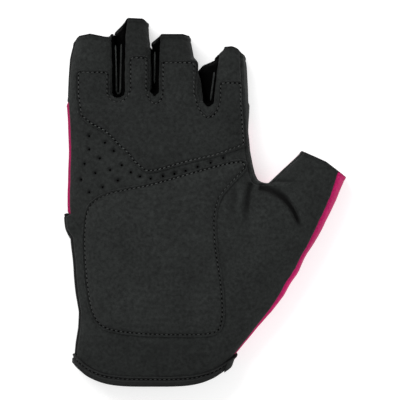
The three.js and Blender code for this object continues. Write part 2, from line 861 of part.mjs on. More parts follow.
piece("palm_panel", palm, suede);
piece("grip_patch", gripPatch, suede);
piece("heel_pad", heelPad(skinForPatches), suede);
piece("back_panel", backPanel, magentaKnit);
piece("finger_back_panel", fingerBack, blackKnit);
piece("wrist_panel", wristPanel, blackKnit);
for (const g of gussetOutlines) {
  piece(g.name, shell.intersect(prism(g.points, low, high)), blackKnit);
}
piece("closure_strap", closureStrap(skinForPatches), blackKnit);
piece("wrist_binding", wristBinding(), tape);
piece("binding_overlap", bindingOverlap(), tape);

// The origin is the middle of the glove's footprint, on the table.
const box = new THREE.Box3().setFromObject(root);
const middle = box.getCenter(new THREE.Vector3());
root.position.set(-middle.x, -middle.y, -box.min.z);
root.updateMatrixWorld(true);

export default root;
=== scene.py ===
"""Dresses the fitness glove: fine cloth panels, suede patches, stitches, vent holes and bound edges.

The hand form is charted as in the part's source: x as a share of the palm's width from its centre
line, y as a share of the glove's length from the wrist, heights in shares of a named height. Work is
done in millimetres on that chart, and each piece is moved into the row's frame when it is made."""

import math

import bpy
import numpy as np
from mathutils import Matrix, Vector
from mathutils.bvhtree import BVHTree
from mathutils.kdtree import KDTree


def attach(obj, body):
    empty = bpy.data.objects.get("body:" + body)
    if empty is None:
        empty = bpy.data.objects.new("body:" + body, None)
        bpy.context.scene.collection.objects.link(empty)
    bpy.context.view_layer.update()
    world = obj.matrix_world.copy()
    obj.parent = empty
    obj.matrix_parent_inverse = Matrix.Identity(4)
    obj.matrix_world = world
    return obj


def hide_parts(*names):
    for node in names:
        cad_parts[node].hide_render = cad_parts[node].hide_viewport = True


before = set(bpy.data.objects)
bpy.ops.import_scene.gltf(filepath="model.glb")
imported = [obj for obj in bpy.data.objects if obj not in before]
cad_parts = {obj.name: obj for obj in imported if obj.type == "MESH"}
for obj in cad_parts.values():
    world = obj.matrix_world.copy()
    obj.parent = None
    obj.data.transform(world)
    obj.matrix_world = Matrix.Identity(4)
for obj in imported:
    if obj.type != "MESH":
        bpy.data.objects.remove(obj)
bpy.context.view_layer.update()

# Driving sizes, in millimetres.
WIDTH = 83.0  # across the palm
LENGTH = 170.0
PALM_HEIGHT = 27.0
FINGER_HEIGHT = 21.0
THUMB_HEIGHT = 24.5
CHART_CENTRE = (20.55, 84.92)  # the frame's origin, on the chart
CLOTH = 1.1  # cloth walls
STRAP = 1.9
STITCH_PITCH = 2.1
VOXEL = 0.8  # the meshing grid
BELT = 0.37  # height of the widest girth, as a share
FLATTENING = 1.22  # how far the lower half would reach below the table, as a share of its height
LOWER_POWER = 3.0  # how square a girth is, below its belt and above it
BODY_POWER = 2.6
FINGER_POWER = 2.3
UNDER_BINDING = 1.5  # the room below the cloth that the binding and the strap take
UNDER_STRAP = 2.3
BINDING_END = (0.116, 0.158)  # the rows over which that room fades
STRAP_ENDS = (0.201, 0.247, 0.489, 0.527)
ABOVE_FLOOR = 0.02


def table(names, rows):
    return dict(zip(names.split(), np.array(rows, float).T))


BODY = table("y left right height bow", [
    (0.071, -0.474, 0.388, 0.84, 0.06), (0.092, -0.471, 0.424, 0.85, 0.046),
    (0.116, -0.467, 0.466, 0.87, 0.031),
    (0.158, -0.455, 0.541, 0.9, 0.014), (0.201, -0.452, 0.619, 0.93, 0.005), (0.247, -0.466, 0.688, 0.97, 0),
    (0.302, -0.477, 0.753, 0.99, 0), (0.356, -0.486, 0.765, 1, 0), (0.402, -0.497, 0.724, 1, 0),
    (0.446, -0.508, 0.665, 1, 0), (0.489, -0.513, 0.612, 0.99, 0), (0.527, -0.511, 0.568, 0.98, 0),
    (0.554, -0.509, 0.546, 0.97, 0), (0.576, -0.509, 0.528, 0.96, 0), (0.604, -0.509, 0.514, 0.95, 0),
    (0.641, -0.508, 0.499, 0.93, 0), (0.69, -0.509, 0.49, 0.89, 0), (0.735, -0.511, 0.491, 0.84, 0),
    (0.78, -0.511, 0.491, 0.79, 0),
])
CROTCH = table("x y", [(-0.508, 0.77), (-0.231, 0.785), (-0.028, 0.796), (0.25, 0.767), (0.483, 0.76)])
ROWS = "y left right height"
FINGERS = [
    (table(ROWS, [(0.69, -0.503, -0.25, 0.99), (0.777, -0.51, -0.239, 0.98), (0.83, -0.507, -0.24, 0.95),
                  (0.885, -0.499, -0.242, 0.91), (0.918, -0.485, -0.242, 0.89), (0.95, -0.468, -0.242, 0.86)]),
     table("u y", [(-1, 0.93), (-0.85, 0.945), (-0.3, 0.951), (0.4, 0.943), (0.6, 0.942), (1, 0.951)])),
    (table(ROWS, [(0.7, -0.225, -0.045, 1.03), (0.79, -0.232, -0.037, 1.01), (0.86, -0.232, -0.037, 0.97),
                  (0.912, -0.234, -0.039, 0.93), (0.93, -0.234, -0.052, 0.91), (0.945, -0.234, -0.057, 0.9),
                  (0.99, -0.222, -0.064, 0.86)]),
     table("u y", [(-1, 0.955), (-0.5, 0.994), (0.6, 0.992), (1, 0.982)])),
    (table(ROWS, [(0.7, -0.01, 0.262, 1.05), (0.76, -0.025, 0.262, 1.04), (0.79, -0.03, 0.25, 1.03),
                  (0.85, -0.03, 0.214, 0.98), (0.876, -0.03, 0.214, 0.95), (0.891, -0.03, 0.188, 0.935),
                  (0.95, -0.03, 0.166, 0.88)]),
     table("u y", [(-1, 0.925), (-0.6, 0.95), (0.6, 0.95), (1, 0.944)])),
    (table(ROWS, [(0.68, 0.285, 0.478, 1.04), (0.76, 0.271, 0.491, 1.02), (0.79, 0.257, 0.491, 1),
                  (0.85, 0.222, 0.483, 0.95), (0.868, 0.25, 0.479, 0.93), (0.881, 0.303, 0.475, 0.92),
                  (0.913, 0.34, 0.462, 0.89)]),
     table("u y", [(-1, 0.892), (-0.68, 0.915), (0, 0.917), (0.5, 0.911), (1, 0.892)])),
]
THUMB_ROOT = (0.578, 0.337)
THUMB_LEAN = math.radians(32)
THUMB = table(ROWS, [
    (-0.03, -0.167, 0.13, 0.96), (0.03, -0.205, 0.181, 1.04), (0.095, -0.222, 0.181, 1.06),
    (0.14, -0.262, 0.177, 1.03), (0.168, -0.267, 0.174, 1), (0.187, -0.211, 0.17, 0.98),
    (0.245, -0.18, 0.158, 0.92), (0.283, -0.156, 0.145, 0.88), (0.31, -0.145, 0.135, 0.84),
])
THUMB_END = table("u y", [(-1, 0.309), (0, 0.318), (1, 0.312)])
BACK_LIP = 1.0  # how much longer the fingers' backs are
SLEEVE_START = 1.3  # how much slimmer a finger's sleeve starts inside the body

# The lines between neighbouring fingers: x as a share of WIDTH, at heights y.
GAPS = [
    table("y x", [(0.7, -0.2375), (0.79, -0.2355), (0.91, -0.238), (0.99, -0.237)]),
    table("y x", [(0.7, -0.028), (0.79, -0.0335), (0.99, -0.04)]),
    table("y x", [(0.7, 0.273), (0.76, 0.2665), (0.79, 0.2535), (0.85, 0.218), (0.868, 0.228), (0.95, 0.25)]),
]
GAP_HALF = 0.2
GAP_STRETCH = 3.0  # the lines are widened by this while the skin is meshed


def smooth(t):
    t = np.clip(t, 0, 1)
    return t * t * (3 - 2 * t)


def hump(d, width):
    return np.exp(-((d / width) ** 2))


def row_at(rows, y, names="left right height"):
    return [np.interp(y, rows["y"], rows[name]) for name in names.split()]


def line_x(line, y):
    """Where a line that runs along the hand lies across it, in mm."""
    return np.interp(y / LENGTH, line["y"], line["x"]) * WIDTH


def line_y(line, x):
    """Where a line that runs across the hand lies along it, in mm."""
    return np.interp(x / WIDTH, line["x"], line["y"]) * LENGTH


def share_across(x, left, right):
    """-1 at the left side, 1 at the right one."""
    return (x / WIDTH - (left + right) / 2) / ((right - left) / 2)


def section(rows, height, power, x, y, z, lift):
    """Distance from a sleeve's skin, negative inside."""
    left, right, tall = row_at(rows, y / LENGTH)
    half = (right - left) * WIDTH / 2
    tall = tall * height
    belt = tall * BELT
    above = z >= belt
    power = np.where(above, power, LOWER_POWER)
    reach = np.where(above, tall - belt, belt * FLATTENING)
    u = np.abs(x - (left + right) * WIDTH / 2) / half + 1e-6
    w = np.abs(z - belt) / reach + 1e-6
    r = (u**power + w**power) ** (1 / power)
    slope = np.hypot((u / r) ** (power - 1) / half, (w / r) ** (power - 1) / reach)
    return np.maximum((r - 1) / slope, lift - z)


def body_row(x, y):
    """The body row that passes through a place: rows near the wrist are bowed."""
    row = y / LENGTH
    for _ in range(2):
        left, right, bow = row_at(BODY, row, "left right bow")
        u = np.clip(share_across(x, left, right), -1, 1)
        row = y / LENGTH + bow * (1 - u**4)
    return row


def body_lift(x, row):
    under_strap = np.interp(row, STRAP_ENDS, (0, 1, 1, 0)) * (1 - smooth((x / WIDTH - 0.46) / 0.11))
    return np.interp(row, BINDING_END, (1, 0)) * UNDER_BINDING + under_strap * UNDER_STRAP


def thumb_place(x, y):
    """A place across the thumb and up along it."""
    dx, dy = x - THUMB_ROOT[0] * WIDTH, y - THUMB_ROOT[1] * LENGTH
    return (dx * math.cos(THUMB_LEAN) - dy * math.sin(THUMB_LEAN),
            dx * math.sin(THUMB_LEAN) + dy * math.cos(THUMB_LEAN))


def blend(a, b, k):
    """The union of two forms, with a fillet about k wide."""
    h = np.maximum(k - np.abs(a - b), 0) / k
    return np.minimum(a, b) - h * h * k / 4


def hand(p):
    """Distance from the hand form's skin, negative inside."""
    x, y, z = p[..., 0], p[..., 1], p[..., 2]
    row = body_row(x, y)
    body = section(BODY, PALM_HEIGHT, BODY_POWER, x, row * LENGTH, z, body_lift(x, row))
    body = np.maximum(body, y - line_y(CROTCH, x))
    skin = body
    for rows, _ in FINGERS:
        sleeve = section(rows, FINGER_HEIGHT, FINGER_POWER, x, y, z, 0)
        sleeve = np.maximum(sleeve, rows["y"][0] * LENGTH - y)
        sleeve = sleeve + SLEEVE_START * (1 - smooth((y / LENGTH - rows["y"][0]) / 0.07))
        skin = np.minimum(skin, blend(body, sleeve, 2.0))
    across, up = thumb_place(x, y)
    sleeve = section(THUMB, THUMB_HEIGHT, FINGER_POWER, across, up, z, 0)
    sleeve = np.maximum(sleeve, THUMB["y"][0] * LENGTH - up)
    return np.maximum(blend(skin, sleeve, 5.0), -z)


def slope_of(p):
    return np.stack([(hand(p + d) - hand(p - d)) / 0.1 for d in np.eye(3) * 0.05], -1)


def onto_skin(p, steps):
    for _ in range(steps):
        slope = slope_of(p)
        far = hand(p) / np.maximum((slope**2).sum(-1), 0.2)
        p = p - np.clip(far, -0.4, 0.4)[:, None] * slope
    return p


def close_gaps(x, y):
    """From the meshing space, where the lines between the fingers are wide, to the real one."""
    wide = GAP_STRETCH * smooth((y - 0.68 * LENGTH) / (0.07 * LENGTH))
    for line in GAPS:
        start = line_x(line, y) - GAP_HALF
        inside = np.clip(x - start, 0, 2 * GAP_HALF + wide)
        x = x - inside * wide / (2 * GAP_HALF + wide)
    return x


def skin_net():
    """A net of even triangles over the hand form: the crossings of a grid with its skin."""
    low = np.array([-0.54 * WIDTH, -0.02 * LENGTH, -1.6])
    high = np.array([0.99 * WIDTH + GAP_STRETCH * 3, 1.04 * LENGTH, PALM_HEIGHT + 2.4])
    grid = np.stack(np.meshgrid(*(np.arange(a, b, VOXEL) for a, b in zip(low, high)), indexing="ij"), -1)
    grid[..., 0] = close_gaps(grid[..., 0], grid[..., 1])
    value = hand(grid)
    inside = value < 0
    points, cells, quads = [], [], []
    for axis, ahead in enumerate(np.eye(3, dtype=int)):
        right, up = np.roll(ahead, 1), np.roll(ahead, 2)
        at = np.argwhere(inside != np.roll(inside, -1, axis))
        at = at[(at @ right > 0) & (at @ up > 0) & (at @ ahead < value.shape[axis] - 1)]
        here, there = value[tuple(at.T)], value[tuple((at + ahead).T)]
        corners = [np.ravel_multi_index(tuple((at - i * right - j * up).T), value.shape)
                   for i, j in ((1, 1), (0, 1), (0, 0), (1, 0))]
        points += [at + (here / (here - there))[:, None] * ahead] * 4
        cells += corners
        quad = np.stack(corners, 1)
        back = ~inside[tuple(at.T)]
        quad[back] = quad[back][:, ::-1]
        quads.append(quad)
    points, cells, quads = np.concatenate(points), np.concatenate(cells), np.concatenate(quads)
    used, index = np.unique(cells, return_inverse=True)
    count = np.bincount(index)
    net = np.stack([np.bincount(index, points[:, k]) / count for k in range(3)], 1) * VOXEL + low
    net[:, 0] = close_gaps(net[:, 0], net[:, 1])
    quads = np.searchsorted(used, quads)
    triangles = np.concatenate([quads[:, [0, 1, 2]], quads[:, [0, 2, 3]]])
    net = onto_skin(net, 3)
    for _ in range(3):
        net = onto_skin(relaxed(net, triangles, 0.5), 2)
    normal = slope_of(net)
    normal /= np.linalg.norm(normal, axis=1)[:, None]
    return np.hstack([net, normal]), triangles


def relaxed(points, triangles, share):
    """Each point moved towards the middle of its neighbours."""
    pairs = all_edges(triangles)
    pairs = np.concatenate([pairs, pairs[:, ::-1]])
    count = np.bincount(pairs[:, 0], minlength=len(points))
    middle = np.stack([np.bincount(pairs[:, 0], points[pairs[:, 1], k], len(points)) for k in range(3)], 1)
    return points + share * (middle / np.maximum(count, 1)[:, None] - points)


# A mesh here is (points, triangles): each point's row holds its place and the skin's normal there.
def all_edges(triangles):
    return np.concatenate([triangles[:, [0, 1]], triangles[:, [1, 2]], triangles[:, [2, 0]]])


def turned(rows, turn):
    """Rows of three, each begun at its own place."""
    return np.stack([rows[np.arange(len(rows)), (turn + k) % 3] for k in range(3)], 1)


def unique_pairs(edges):
    """The different edges, whichever way they run, and where each given edge is among them."""
    low, high = edges.min(1).astype(np.int64), edges.max(1).astype(np.int64)
    keys, index = np.unique(low * 2**32 + high, return_inverse=True)
    return np.stack([keys >> 32, keys & (2**32 - 1)], 1), index.ravel()


def tidy(points, triangles):
    used, index = np.unique(triangles, return_inverse=True)
    return points[used], index.reshape(triangles.shape)


def clip(mesh, value):
    """The part of a mesh where value, one number for each point, is positive."""
    points, triangles = mesh
    value = np.where(np.abs(value) < 1e-7, 1e-7, value)
    inside = value > 0
    count = inside[triangles].sum(1)
    kept = [triangles[count == 3]]
    fresh = []  # those cut by the border, each begun at its corner that is alone on its side
    for alone in (1, 2):
        cut = triangles[count == alone]
        odd = np.argmax(inside[cut] if alone == 1 else ~inside[cut], axis=1)
        fresh.append(turned(cut, odd))
    pairs, index = unique_pairs(np.concatenate([f[:, k] for f in fresh for k in ([0, 1], [0, 2])]))
    share = (value[pairs[:, 0]] / (value[pairs[:, 0]] - value[pairs[:, 1]]))[:, None]
    cuts = points[pairs[:, 0]] * (1 - share) + points[pairs[:, 1]] * share
    one, two = fresh
    ab1, ac1, ab2, ac2 = np.split(index + len(points), np.cumsum([len(one), len(one), len(two)]))
    kept += [np.stack(t, 1) for t in ((one[:, 0], ab1, ac1), (ab2, two[:, 1], two[:, 2]),
                                      (ab2, two[:, 2], ac2))]
    return tidy(np.vstack([points, cuts]), np.concatenate(kept))


# How a triangle is split: its corners are 0 to 2, and the middles of its marked edges 3 to 5.
SPLITS = {0: [(0, 1, 2)], 3: [(0, 3, 5), (3, 1, 4), (5, 4, 2), (3, 4, 5)],
          1: [(0, 3, 2), (3, 1, 2)], 2: [(0, 1, 4), (0, 4, 5), (5, 4, 2)]}


def refine(mesh, near, size):
    """Splits edges longer than size whose middles are near a feature."""
    points, triangles = mesh
    for _ in range(6):
        pairs, index = unique_pairs(all_edges(triangles))
        middle = (points[pairs[:, 0]] + points[pairs[:, 1]]) / 2
        long = np.linalg.norm(points[pairs[:, 0], :3] - points[pairs[:, 1], :3], axis=1) > size
        split = long & near(middle)
        if not split.any():
            break
        number = np.full(len(pairs), -1)
        number[split] = len(points) + np.arange(split.sum())
        points = np.vstack([points, middle[split]])
        mids = number[index].reshape(3, -1).T
        marks = (mids >= 0).sum(1)
        out = []
        for count, parts in SPLITS.items():
            m = mids[marks == count]
            turn = np.argmax(m >= 0 if count == 1 else m < 0, axis=1)
            places = np.hstack([turned(triangles[marks == count], turn), turned(m, turn)])
            out += [places[:, part] for part in parts]
        triangles = np.concatenate(out)
    return points, triangles


def joined(*meshes):
    """Several meshes as one, with the points on their common borders welded."""
    points = np.vstack([m[0] for m in meshes])
    shift = np.cumsum([0] + [len(m[0]) for m in meshes[:-1]])
    triangles = np.concatenate([m[1] + s for m, s in zip(meshes, shift)])
    _, first, index = np.unique(np.round(points[:, :3], 4), axis=0, return_index=True, return_inverse=True)
    triangles = index.ravel()[triangles]
    return points[first], triangles


def border(triangles):
    """The open edges of a mesh, each in the direction of its triangle."""
    edges = all_edges(triangles)
    pairs, index = unique_pairs(edges)
    return edges[np.bincount(index, minlength=len(pairs))[index] == 1]


def border_distance(mesh, keep=None):
    """Each point's distance from the mesh's open edges, or from those edges whose points are kept."""
    points, triangles = mesh
    rim = np.unique(border(triangles))
    if keep is not None:
        rim = rim[keep(points[rim])]
    if not len(rim):
        return np.full(len(points), 99.0)
    tree = KDTree(len(rim))
    for i, k in enumerate(rim):
        tree.insert(points[k, :3], i)
    tree.balance()
    return np.array([tree.find(p)[2] for p in points[:, :3]])


def quadratic(a, b, c, steps=7):
    """A curve from a to c that bends towards b."""
    t = np.linspace(0, 1, steps)[:, None]
    return (1 - t) ** 2 * np.array(a) + 2 * t * (1 - t) * np.array(b) + t**2 * np.array(c)


def polyline(points, closed=False):
    """A smooth line through charted points, in millimetres."""
    knots = np.array(points, float) * (WIDTH, LENGTH)
    n = len(knots)
    if closed:
        knots = np.vstack([knots[-1], knots, knots[:2]])
    else:
        knots = np.vstack([2 * knots[0] - knots[1], knots, 2 * knots[-1] - knots[-2]])
    out = []
    for i in range(n if closed else n - 1):
        a, b, c, d = knots[i:i + 4]
        for t in np.arange(8) / 8:
            out.append(0.5 * (2 * b + (c - a) * t + (2 * a - 5 * b + 4 * c - d) * t**2
                              + (3 * b - a - 3 * c + d) * t**3))
    if not closed:
        out.append(knots[-2])
    return np.array(out)


def line_distance(line, p):
    """Distance from a closed line, seen from above."""
    x, y = p[:, 0], p[:, 1]
    best = np.full(len(p), 1e9)
    for (ax, ay), (bx, by) in zip(line, np.roll(line, -1, axis=0)):
        dx, dy, sx, sy = x - ax, y - ay, bx - ax, by - ay
        t = np.clip((dx * sx + dy * sy) / (sx * sx + sy * sy + 1e-12), 0, 1)
        best = np.minimum(best, (dx - t * sx) ** 2 + (dy - t * sy) ** 2)
    return np.sqrt(best)


def inside_of(line, p):
    """Signed distance from a closed line, positive inside."""
    x, y = p[:, 0], p[:, 1]
    odd = np.zeros(len(p), bool)
    for (x0, y0), (x1, y1) in zip(line, np.roll(line, -1, axis=0)):
        if y0 == y1:
            continue
        odd ^= ((y0 > y) != (y1 > y)) & (x < (x1 - x0) * (y - y0) / (y1 - y0) + x0)
    return np.where(odd, 1, -1) * line_distance(line, p)


# Seams. The palm's border lies at a share of the palm's height, at each place along its sides.
SIDE_SEAM, THUMB_SEAM, FINGER_SEAM, LOW_SEAM = 0.56, 0.675, 0.3, 0.2
VALLEYS = [  # (y, left, right) down to a rounded end, and where that ends
    ([(1.02, -0.268, -0.175), (0.95, -0.265, -0.194), (0.8, -0.257, -0.2)], 0.781),
    ([(1.02, -0.052, 0.018), (0.92, -0.047, -0.006), (0.805, -0.044, -0.01)], 0.785),
    ([(1.02, 0.205, 0.36), (0.88, 0.211, 0.321), (0.775, 0.245, 0.295)], 0.757),
]
VALLEY_NAMES = ["gusset_little_ring", "gusset_ring_middle", "gusset_middle_index"]
THUMB_GUSSET = [(0.44, 1), (0.45, 0.88), (0.462, 0.75), (0.47, 0.66), (0.486, 0.6), (0.508, 0.56),
                (0.54, 0.5475), (0.595, 0.546), (0.634, 0.557), (0.695, 0.589), (0.773, 0.622), (0.853, 0.66)]
THUMB_GUSSET_OUTSIDE = [(0.8, 0.75), (0.6, 0.7), (0.6, 1)]
KNUCKLE = table("x y", [(-0.7, 0.778), (-0.5, 0.768), (-0.3, 0.75), (0.1, 0.725), (0.7, 0.71)])
WRIST_PANEL = table("y x", [(-0.1, 0.2), (0.22, 0.16), (0.36, 0), (0.455, -0.3), (0.472, -0.7)])


def valley(levels, crotch):
    """The outline of the gusset between two fingers."""
    y2, l2, r2 = levels[-1]
    points = [(left * WIDTH, y * LENGTH) for y, left, _ in levels]
    for t in np.linspace(0, math.pi, 14)[1:-1]:
        points.append((((l2 + r2) - (r2 - l2) * math.cos(t)) / 2 * WIDTH,
                       (y2 - (y2 - crotch) * math.sin(t)) * LENGTH))
    points += [(right * WIDTH, y * LENGTH) for y, _, right in reversed(levels)]
    return np.array(points)


def seam_height(x, y):
    across, up = thumb_place(x, y)
    rise = np.where(x > 0.45 * WIDTH, smooth(up / (0.36 * LENGTH) + 0.62), 0)
    side = SIDE_SEAM * np.interp(y / LENGTH, BODY["y"], BODY["height"])
    fingers = (y > 0.74 * LENGTH) & (x > -0.37 * WIDTH)
    gusset = (y > 0.5 * LENGTH) & (x > 0.3 * WIDTH)
    low = (fingers | gusset) & (across < 0)
    return PALM_HEIGHT * np.where(low, FINGER_SEAM, side + (THUMB_SEAM - side) * rise)


def end_room(p):
    """How far a point lies inside the open end of its finger, of the thumb, or of the wrist."""
    x, y, z = p.T[:3]
    number = sum((x > line_x(line, y)).astype(int) for line in GAPS)
    room = np.zeros(len(x))
    for i, (rows, end) in enumerate(FINGERS):
        left, right, tall = row_at(rows, y / LENGTH)
        u = share_across(x, left, right)
        lip = BACK_LIP * smooth((tall * FINGER_HEIGHT * BELT - z) / 5)
        room = np.where(number == i, np.interp(u, end["u"], end["y"]) * LENGTH + lip - y, room)
    across, up = thumb_place(x, y)
    u = share_across(across, *row_at(THUMB, up / LENGTH, "left right"))
    thumb = np.interp(u, THUMB_END["u"], THUMB_END["y"]) * LENGTH - up
    room = np.where(x > 0.52 * WIDTH, thumb, room)
    return np.minimum(room, (body_row(x, y) - BODY["y"][0]) * LENGTH)


# Folds of the palm's cloth, each along a curve that bends towards its middle point. Depth and the half
# widths, to the left and right of the curve at its start and end, are in mm; dark is the painted shade
# in the fold, and where it is negative, painted light on a ridge; head and tail are the shares of the
# curve over which the fold grows and fades.
FOLDS = [dict(zip("path depth dark left right head tail".split(), fold)) for fold in [
    (((0.542, 0.539), (0.733, 0.5235), (0.776, 0.422)), 2.3, 1.02,
     (2.3, 0.7), (2.1, 0.9), 0.04, 0.18),
    (((0.7, 0.51), (0.775, 0.488), (0.8, 0.424)), -0.9, -0.25,
     (1.4, 1.0), (0.8, 0.7), 0.4, 0.4),
    (((0.575, 0.544), (0.678, 0.547), (0.778, 0.54)), -0.6, -0.2,
     (0.9, 0.8), (0.9, 0.8), 0.1, 0.5),
    (((0.6, 0.5545), (0.689, 0.5555), (0.772, 0.553)), 0.6, 0.4,
     (1.0, 0.8), (0.5, 0.5), 0.05, 0.5),
    (((0.5056, 0.552), (0.4806, 0.5163), (0.464, 0.41)), 1.4, 0.72,
     (1.3, 1.2), (1.3, 1.2), 0.08, 0.5),
    (((0.4639, 0.545), (0.4444, 0.511), (0.425, 0.45)), -0.9, -0.32,
     (1.2, 1.2), (1.4, 1.3), 0.2, 0.5),
    (((0.41, 0.54), (0.4, 0.5), (0.39, 0.43)), 0.25, 0.28,
     (2.2, 1.8), (2.0, 1.6), 0.1, 0.5),
]]


def fold_places(fold, p):
    """Signed distance from a fold's curve, positive on its left, and the share of the way along it."""
    line = quadratic(*(np.array(q) * (WIDTH, LENGTH) for q in fold["path"]), 19)
    x, y = p[:, 0], p[:, 1]
    best, side, along = np.full(len(p), 1e9), np.ones(len(p)), np.zeros(len(p))
    for i, ((ax, ay), (bx, by)) in enumerate(zip(line[:-1], line[1:])):
        dx, dy, sx, sy = x - ax, y - ay, bx - ax, by - ay
        t = np.clip((dx * sx + dy * sy) / (sx * sx + sy * sy), 0, 1)
        far = (dx - t * sx) ** 2 + (dy - t * sy) ** 2
        near = far < best
        best = np.where(near, far, best)
        side = np.where(near, np.sign(sx * dy - sy * dx), side)
        along = np.where(near, (i + t) / (len(line) - 1), along)
    return np.sqrt(best) * side, along


def fold_field(p, key):
    """The folds' depth, or their painted shade and light, at a place: across a fold it is a hump with a broad
    top.
    """
    total = np.zeros(len(p))
    for fold in FOLDS:
        far, along = fold_places(fold, p)
        left = np.interp(along, (0, 1), fold["left"])
        right = np.interp(along, (0, 1), fold["right"])
        strength = smooth(along / fold["head"]) * smooth((1 - along) / fold["tail"])
        total += fold[key] * strength * np.exp(-(np.abs(far / np.where(far > 0, left, right)) ** 2.6))
    return total


def ripple(p, seed, length):
    """Soft unevenness between about -1 and 1, with waves of about the given length."""
    rng = np.random.default_rng(seed)
    total = np.zeros(len(p))
    for _ in range(9):
        way = rng.normal(size=3)
        way /= np.linalg.norm(way)
        wave = length * rng.uniform(0.6, 1.6)
        total += np.sin(p[:, :3] @ way * 2 * math.pi / wave + rng.uniform(0, 6.28))
    return total / 4.0


def fold_drop(mesh):
    """How far the folds let the cloth down, where it faces up."""
    p = mesh[0]
    return fold_field(p, "depth") * smooth((p[:, 5] + 0.2) / 0.6)


def unevenness(mesh):
    """Slight waves in the cloth, in mm, except where it rests on the table."""
    resting = smooth((mesh[0][:, 2] - 1.0) / 5)
    return (0.16 * ripple(mesh[0], 3, 26) + 0.05 * ripple(mesh[0], 8, 9)) * resting


def unit(v):
    return v / np.maximum(np.linalg.norm(v, axis=1), 1e-9)[:, None]


def shifted(mesh, distance):
    """The mesh's points moved along their normals, and kept above the table."""
    p = mesh[0].copy()
    p[:, :3] += unit(p[:, 3:6]) * np.asarray(distance).reshape(-1, 1)
    p[:, 2] = np.maximum(p[:, 2], ABOVE_FLOOR)
    return p[:, :3]


def solid(mesh, outer, inner, drop=0.0):
    """A closed body between two distances from the skin, let down by its folds."""
    top, under = shifted(mesh, outer), shifted(mesh, inner)
    top[:, 2] -= drop
    under[:, 2] -= drop
    triangles = mesh[1]
    rim = border(triangles)
    n = len(top)
    walls = np.concatenate([np.stack([rim[:, 1], rim[:, 0], rim[:, 0] + n], 1),
                            np.stack([rim[:, 1], rim[:, 0] + n, rim[:, 1] + n], 1)])
    return np.vstack([top, under]), np.concatenate([triangles, triangles[:, ::-1] + n, walls])


def pressed(points):
    """Neighbouring fingers lean on each other low down, so no light falls between them."""
    moved = points.copy()
    x, y, z = points.T
    for line in GAPS:
        near = hump(x - line_x(line, y), 2.5)
        low = (np.tanh((z - 8) / 2.5) - 1) * smooth((y / LENGTH - 0.755) / 0.03)
        moved[:, 0] += 0.8 * near * low
    return moved


def to_frame(points):
    return (pressed(points) - (CHART_CENTRE[0], CHART_CENTRE[1], 0)) / 1000.0


def add_piece(name, points, faces, material, nodes=(), slot=None, sharp=40, shade=None):
    """A mesh in the frame. The shade, one number for each point, darkens its material."""
    mesh = bpy.data.meshes.new(name)
    mesh.from_pydata(to_frame(points).tolist(), [], [list(map(int, f)) for f in faces])
    mesh.update()
    shade = np.ones(len(points)) if shade is None else np.clip(shade, 0.02, 4)
    colors = np.stack([shade, shade, shade, np.ones(len(points))], 1)
    layer = mesh.color_attributes.new("shade", "FLOAT_COLOR", "POINT")
    layer.data.foreach_set("color", colors.ravel())
    mesh.polygons.foreach_set("use_smooth", [True] * len(mesh.polygons))
    if sharp:
        mesh.set_sharp_from_angle(angle=math.radians(sharp))
    mesh.materials.append(material)
    piece = bpy.data.objects.new(name, mesh)
    bpy.context.scene.collection.objects.link(piece)
    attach(piece, "root")
    if nodes:
        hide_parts(*nodes)
    return piece


# Materials.
def new_material(name, color, roughness, sheen=0.0, sheen_roughness=0.4, tint=(1, 1, 1), specular=0.16):
    material = bpy.data.materials.new(name)
    material.use_nodes = True
    shader = material.node_tree.nodes["Principled BSDF"]
    for key, value in {"Base Color": (*color, 1), "Roughness": roughness, "Specular IOR Level": specular,
                       "Sheen Weight": sheen, "Sheen Roughness": sheen_roughness,
                       "Sheen Tint": (*tint, 1)}.items():
        shader.inputs[key].default_value = value
    return material, material.node_tree, shader


def add_node(tree, kind, **inputs):
    """A shader node. An input that is another node's output is linked, and the others are set."""
    node = tree.nodes.new(kind)
    for key, value in inputs.items():
        if isinstance(value, bpy.types.NodeSocket):
            tree.links.new(value, node.inputs[key])
        else:
            node.inputs[key].default_value = value
    return node


def noise(tree, place, scale, detail=2.0, roughness=0.5):
    return add_node(tree, "ShaderNodeTexNoise", Vector=place, Scale=scale, Detail=detail,
                    Roughness=roughness).outputs["Fac"]


def ramp(tree, value, stops):
    node = add_node(tree, "ShaderNodeValToRGB", Fac=value)
    for end, (place, color) in zip(node.color_ramp.elements, stops):
        end.position, end.color = place, (*color, 1)
    return node.outputs["Color"]


def mixed(tree, kind, a, b, share):
    node = tree.nodes.new("ShaderNodeMix")
    node.data_type = "RGBA"
    node.blend_type = kind
    node.inputs["Factor"].default_value = share
    tree.links.new(a, node.inputs["A"])
    tree.links.new(b, node.inputs["B"])
    return node.outputs["Result"]


def summed(tree, a, b, weight):
    """a + b * weight"""
    node = tree.nodes.new("ShaderNodeMath")
    node.operation = "MULTIPLY_ADD"
    node.inputs[1].default_value = weight
    tree.links.new(b, node.inputs[0])
    tree.links.new(a, node.inputs[2])
    return node.outputs[0]


def bump(tree, shader, height, distance, strength):
    node = add_node(tree, "ShaderNodeBump", Height=height, Distance=distance, Strength=strength)
    tree.links.new(node.outputs["Normal"], shader.inputs["Normal"])


def object_place(tree):
    return tree.nodes.new("ShaderNodeTexCoord").outputs["Object"]


def shaded(tree, shader, color):
    """The colour, times each point's shade."""
    layer = tree.nodes.new("ShaderNodeAttribute")
    layer.attribute_name = "shade"
    color = mixed(tree, "MULTIPLY", color, layer.outputs["Color"], 1.0)
    tree.links.new(color, shader.inputs["Base Color"])


def overlaid(tree, base, value, stop, contrast, share):
    """The base colour with a grey pattern laid over it, even about the middle."""
    stops = [(0.5 - stop, (0.5 - contrast,) * 3), (0.5 + stop, (0.5 + contrast,) * 3)]
    return mixed(tree, "OVERLAY", base, ramp(tree, value, stops), share)


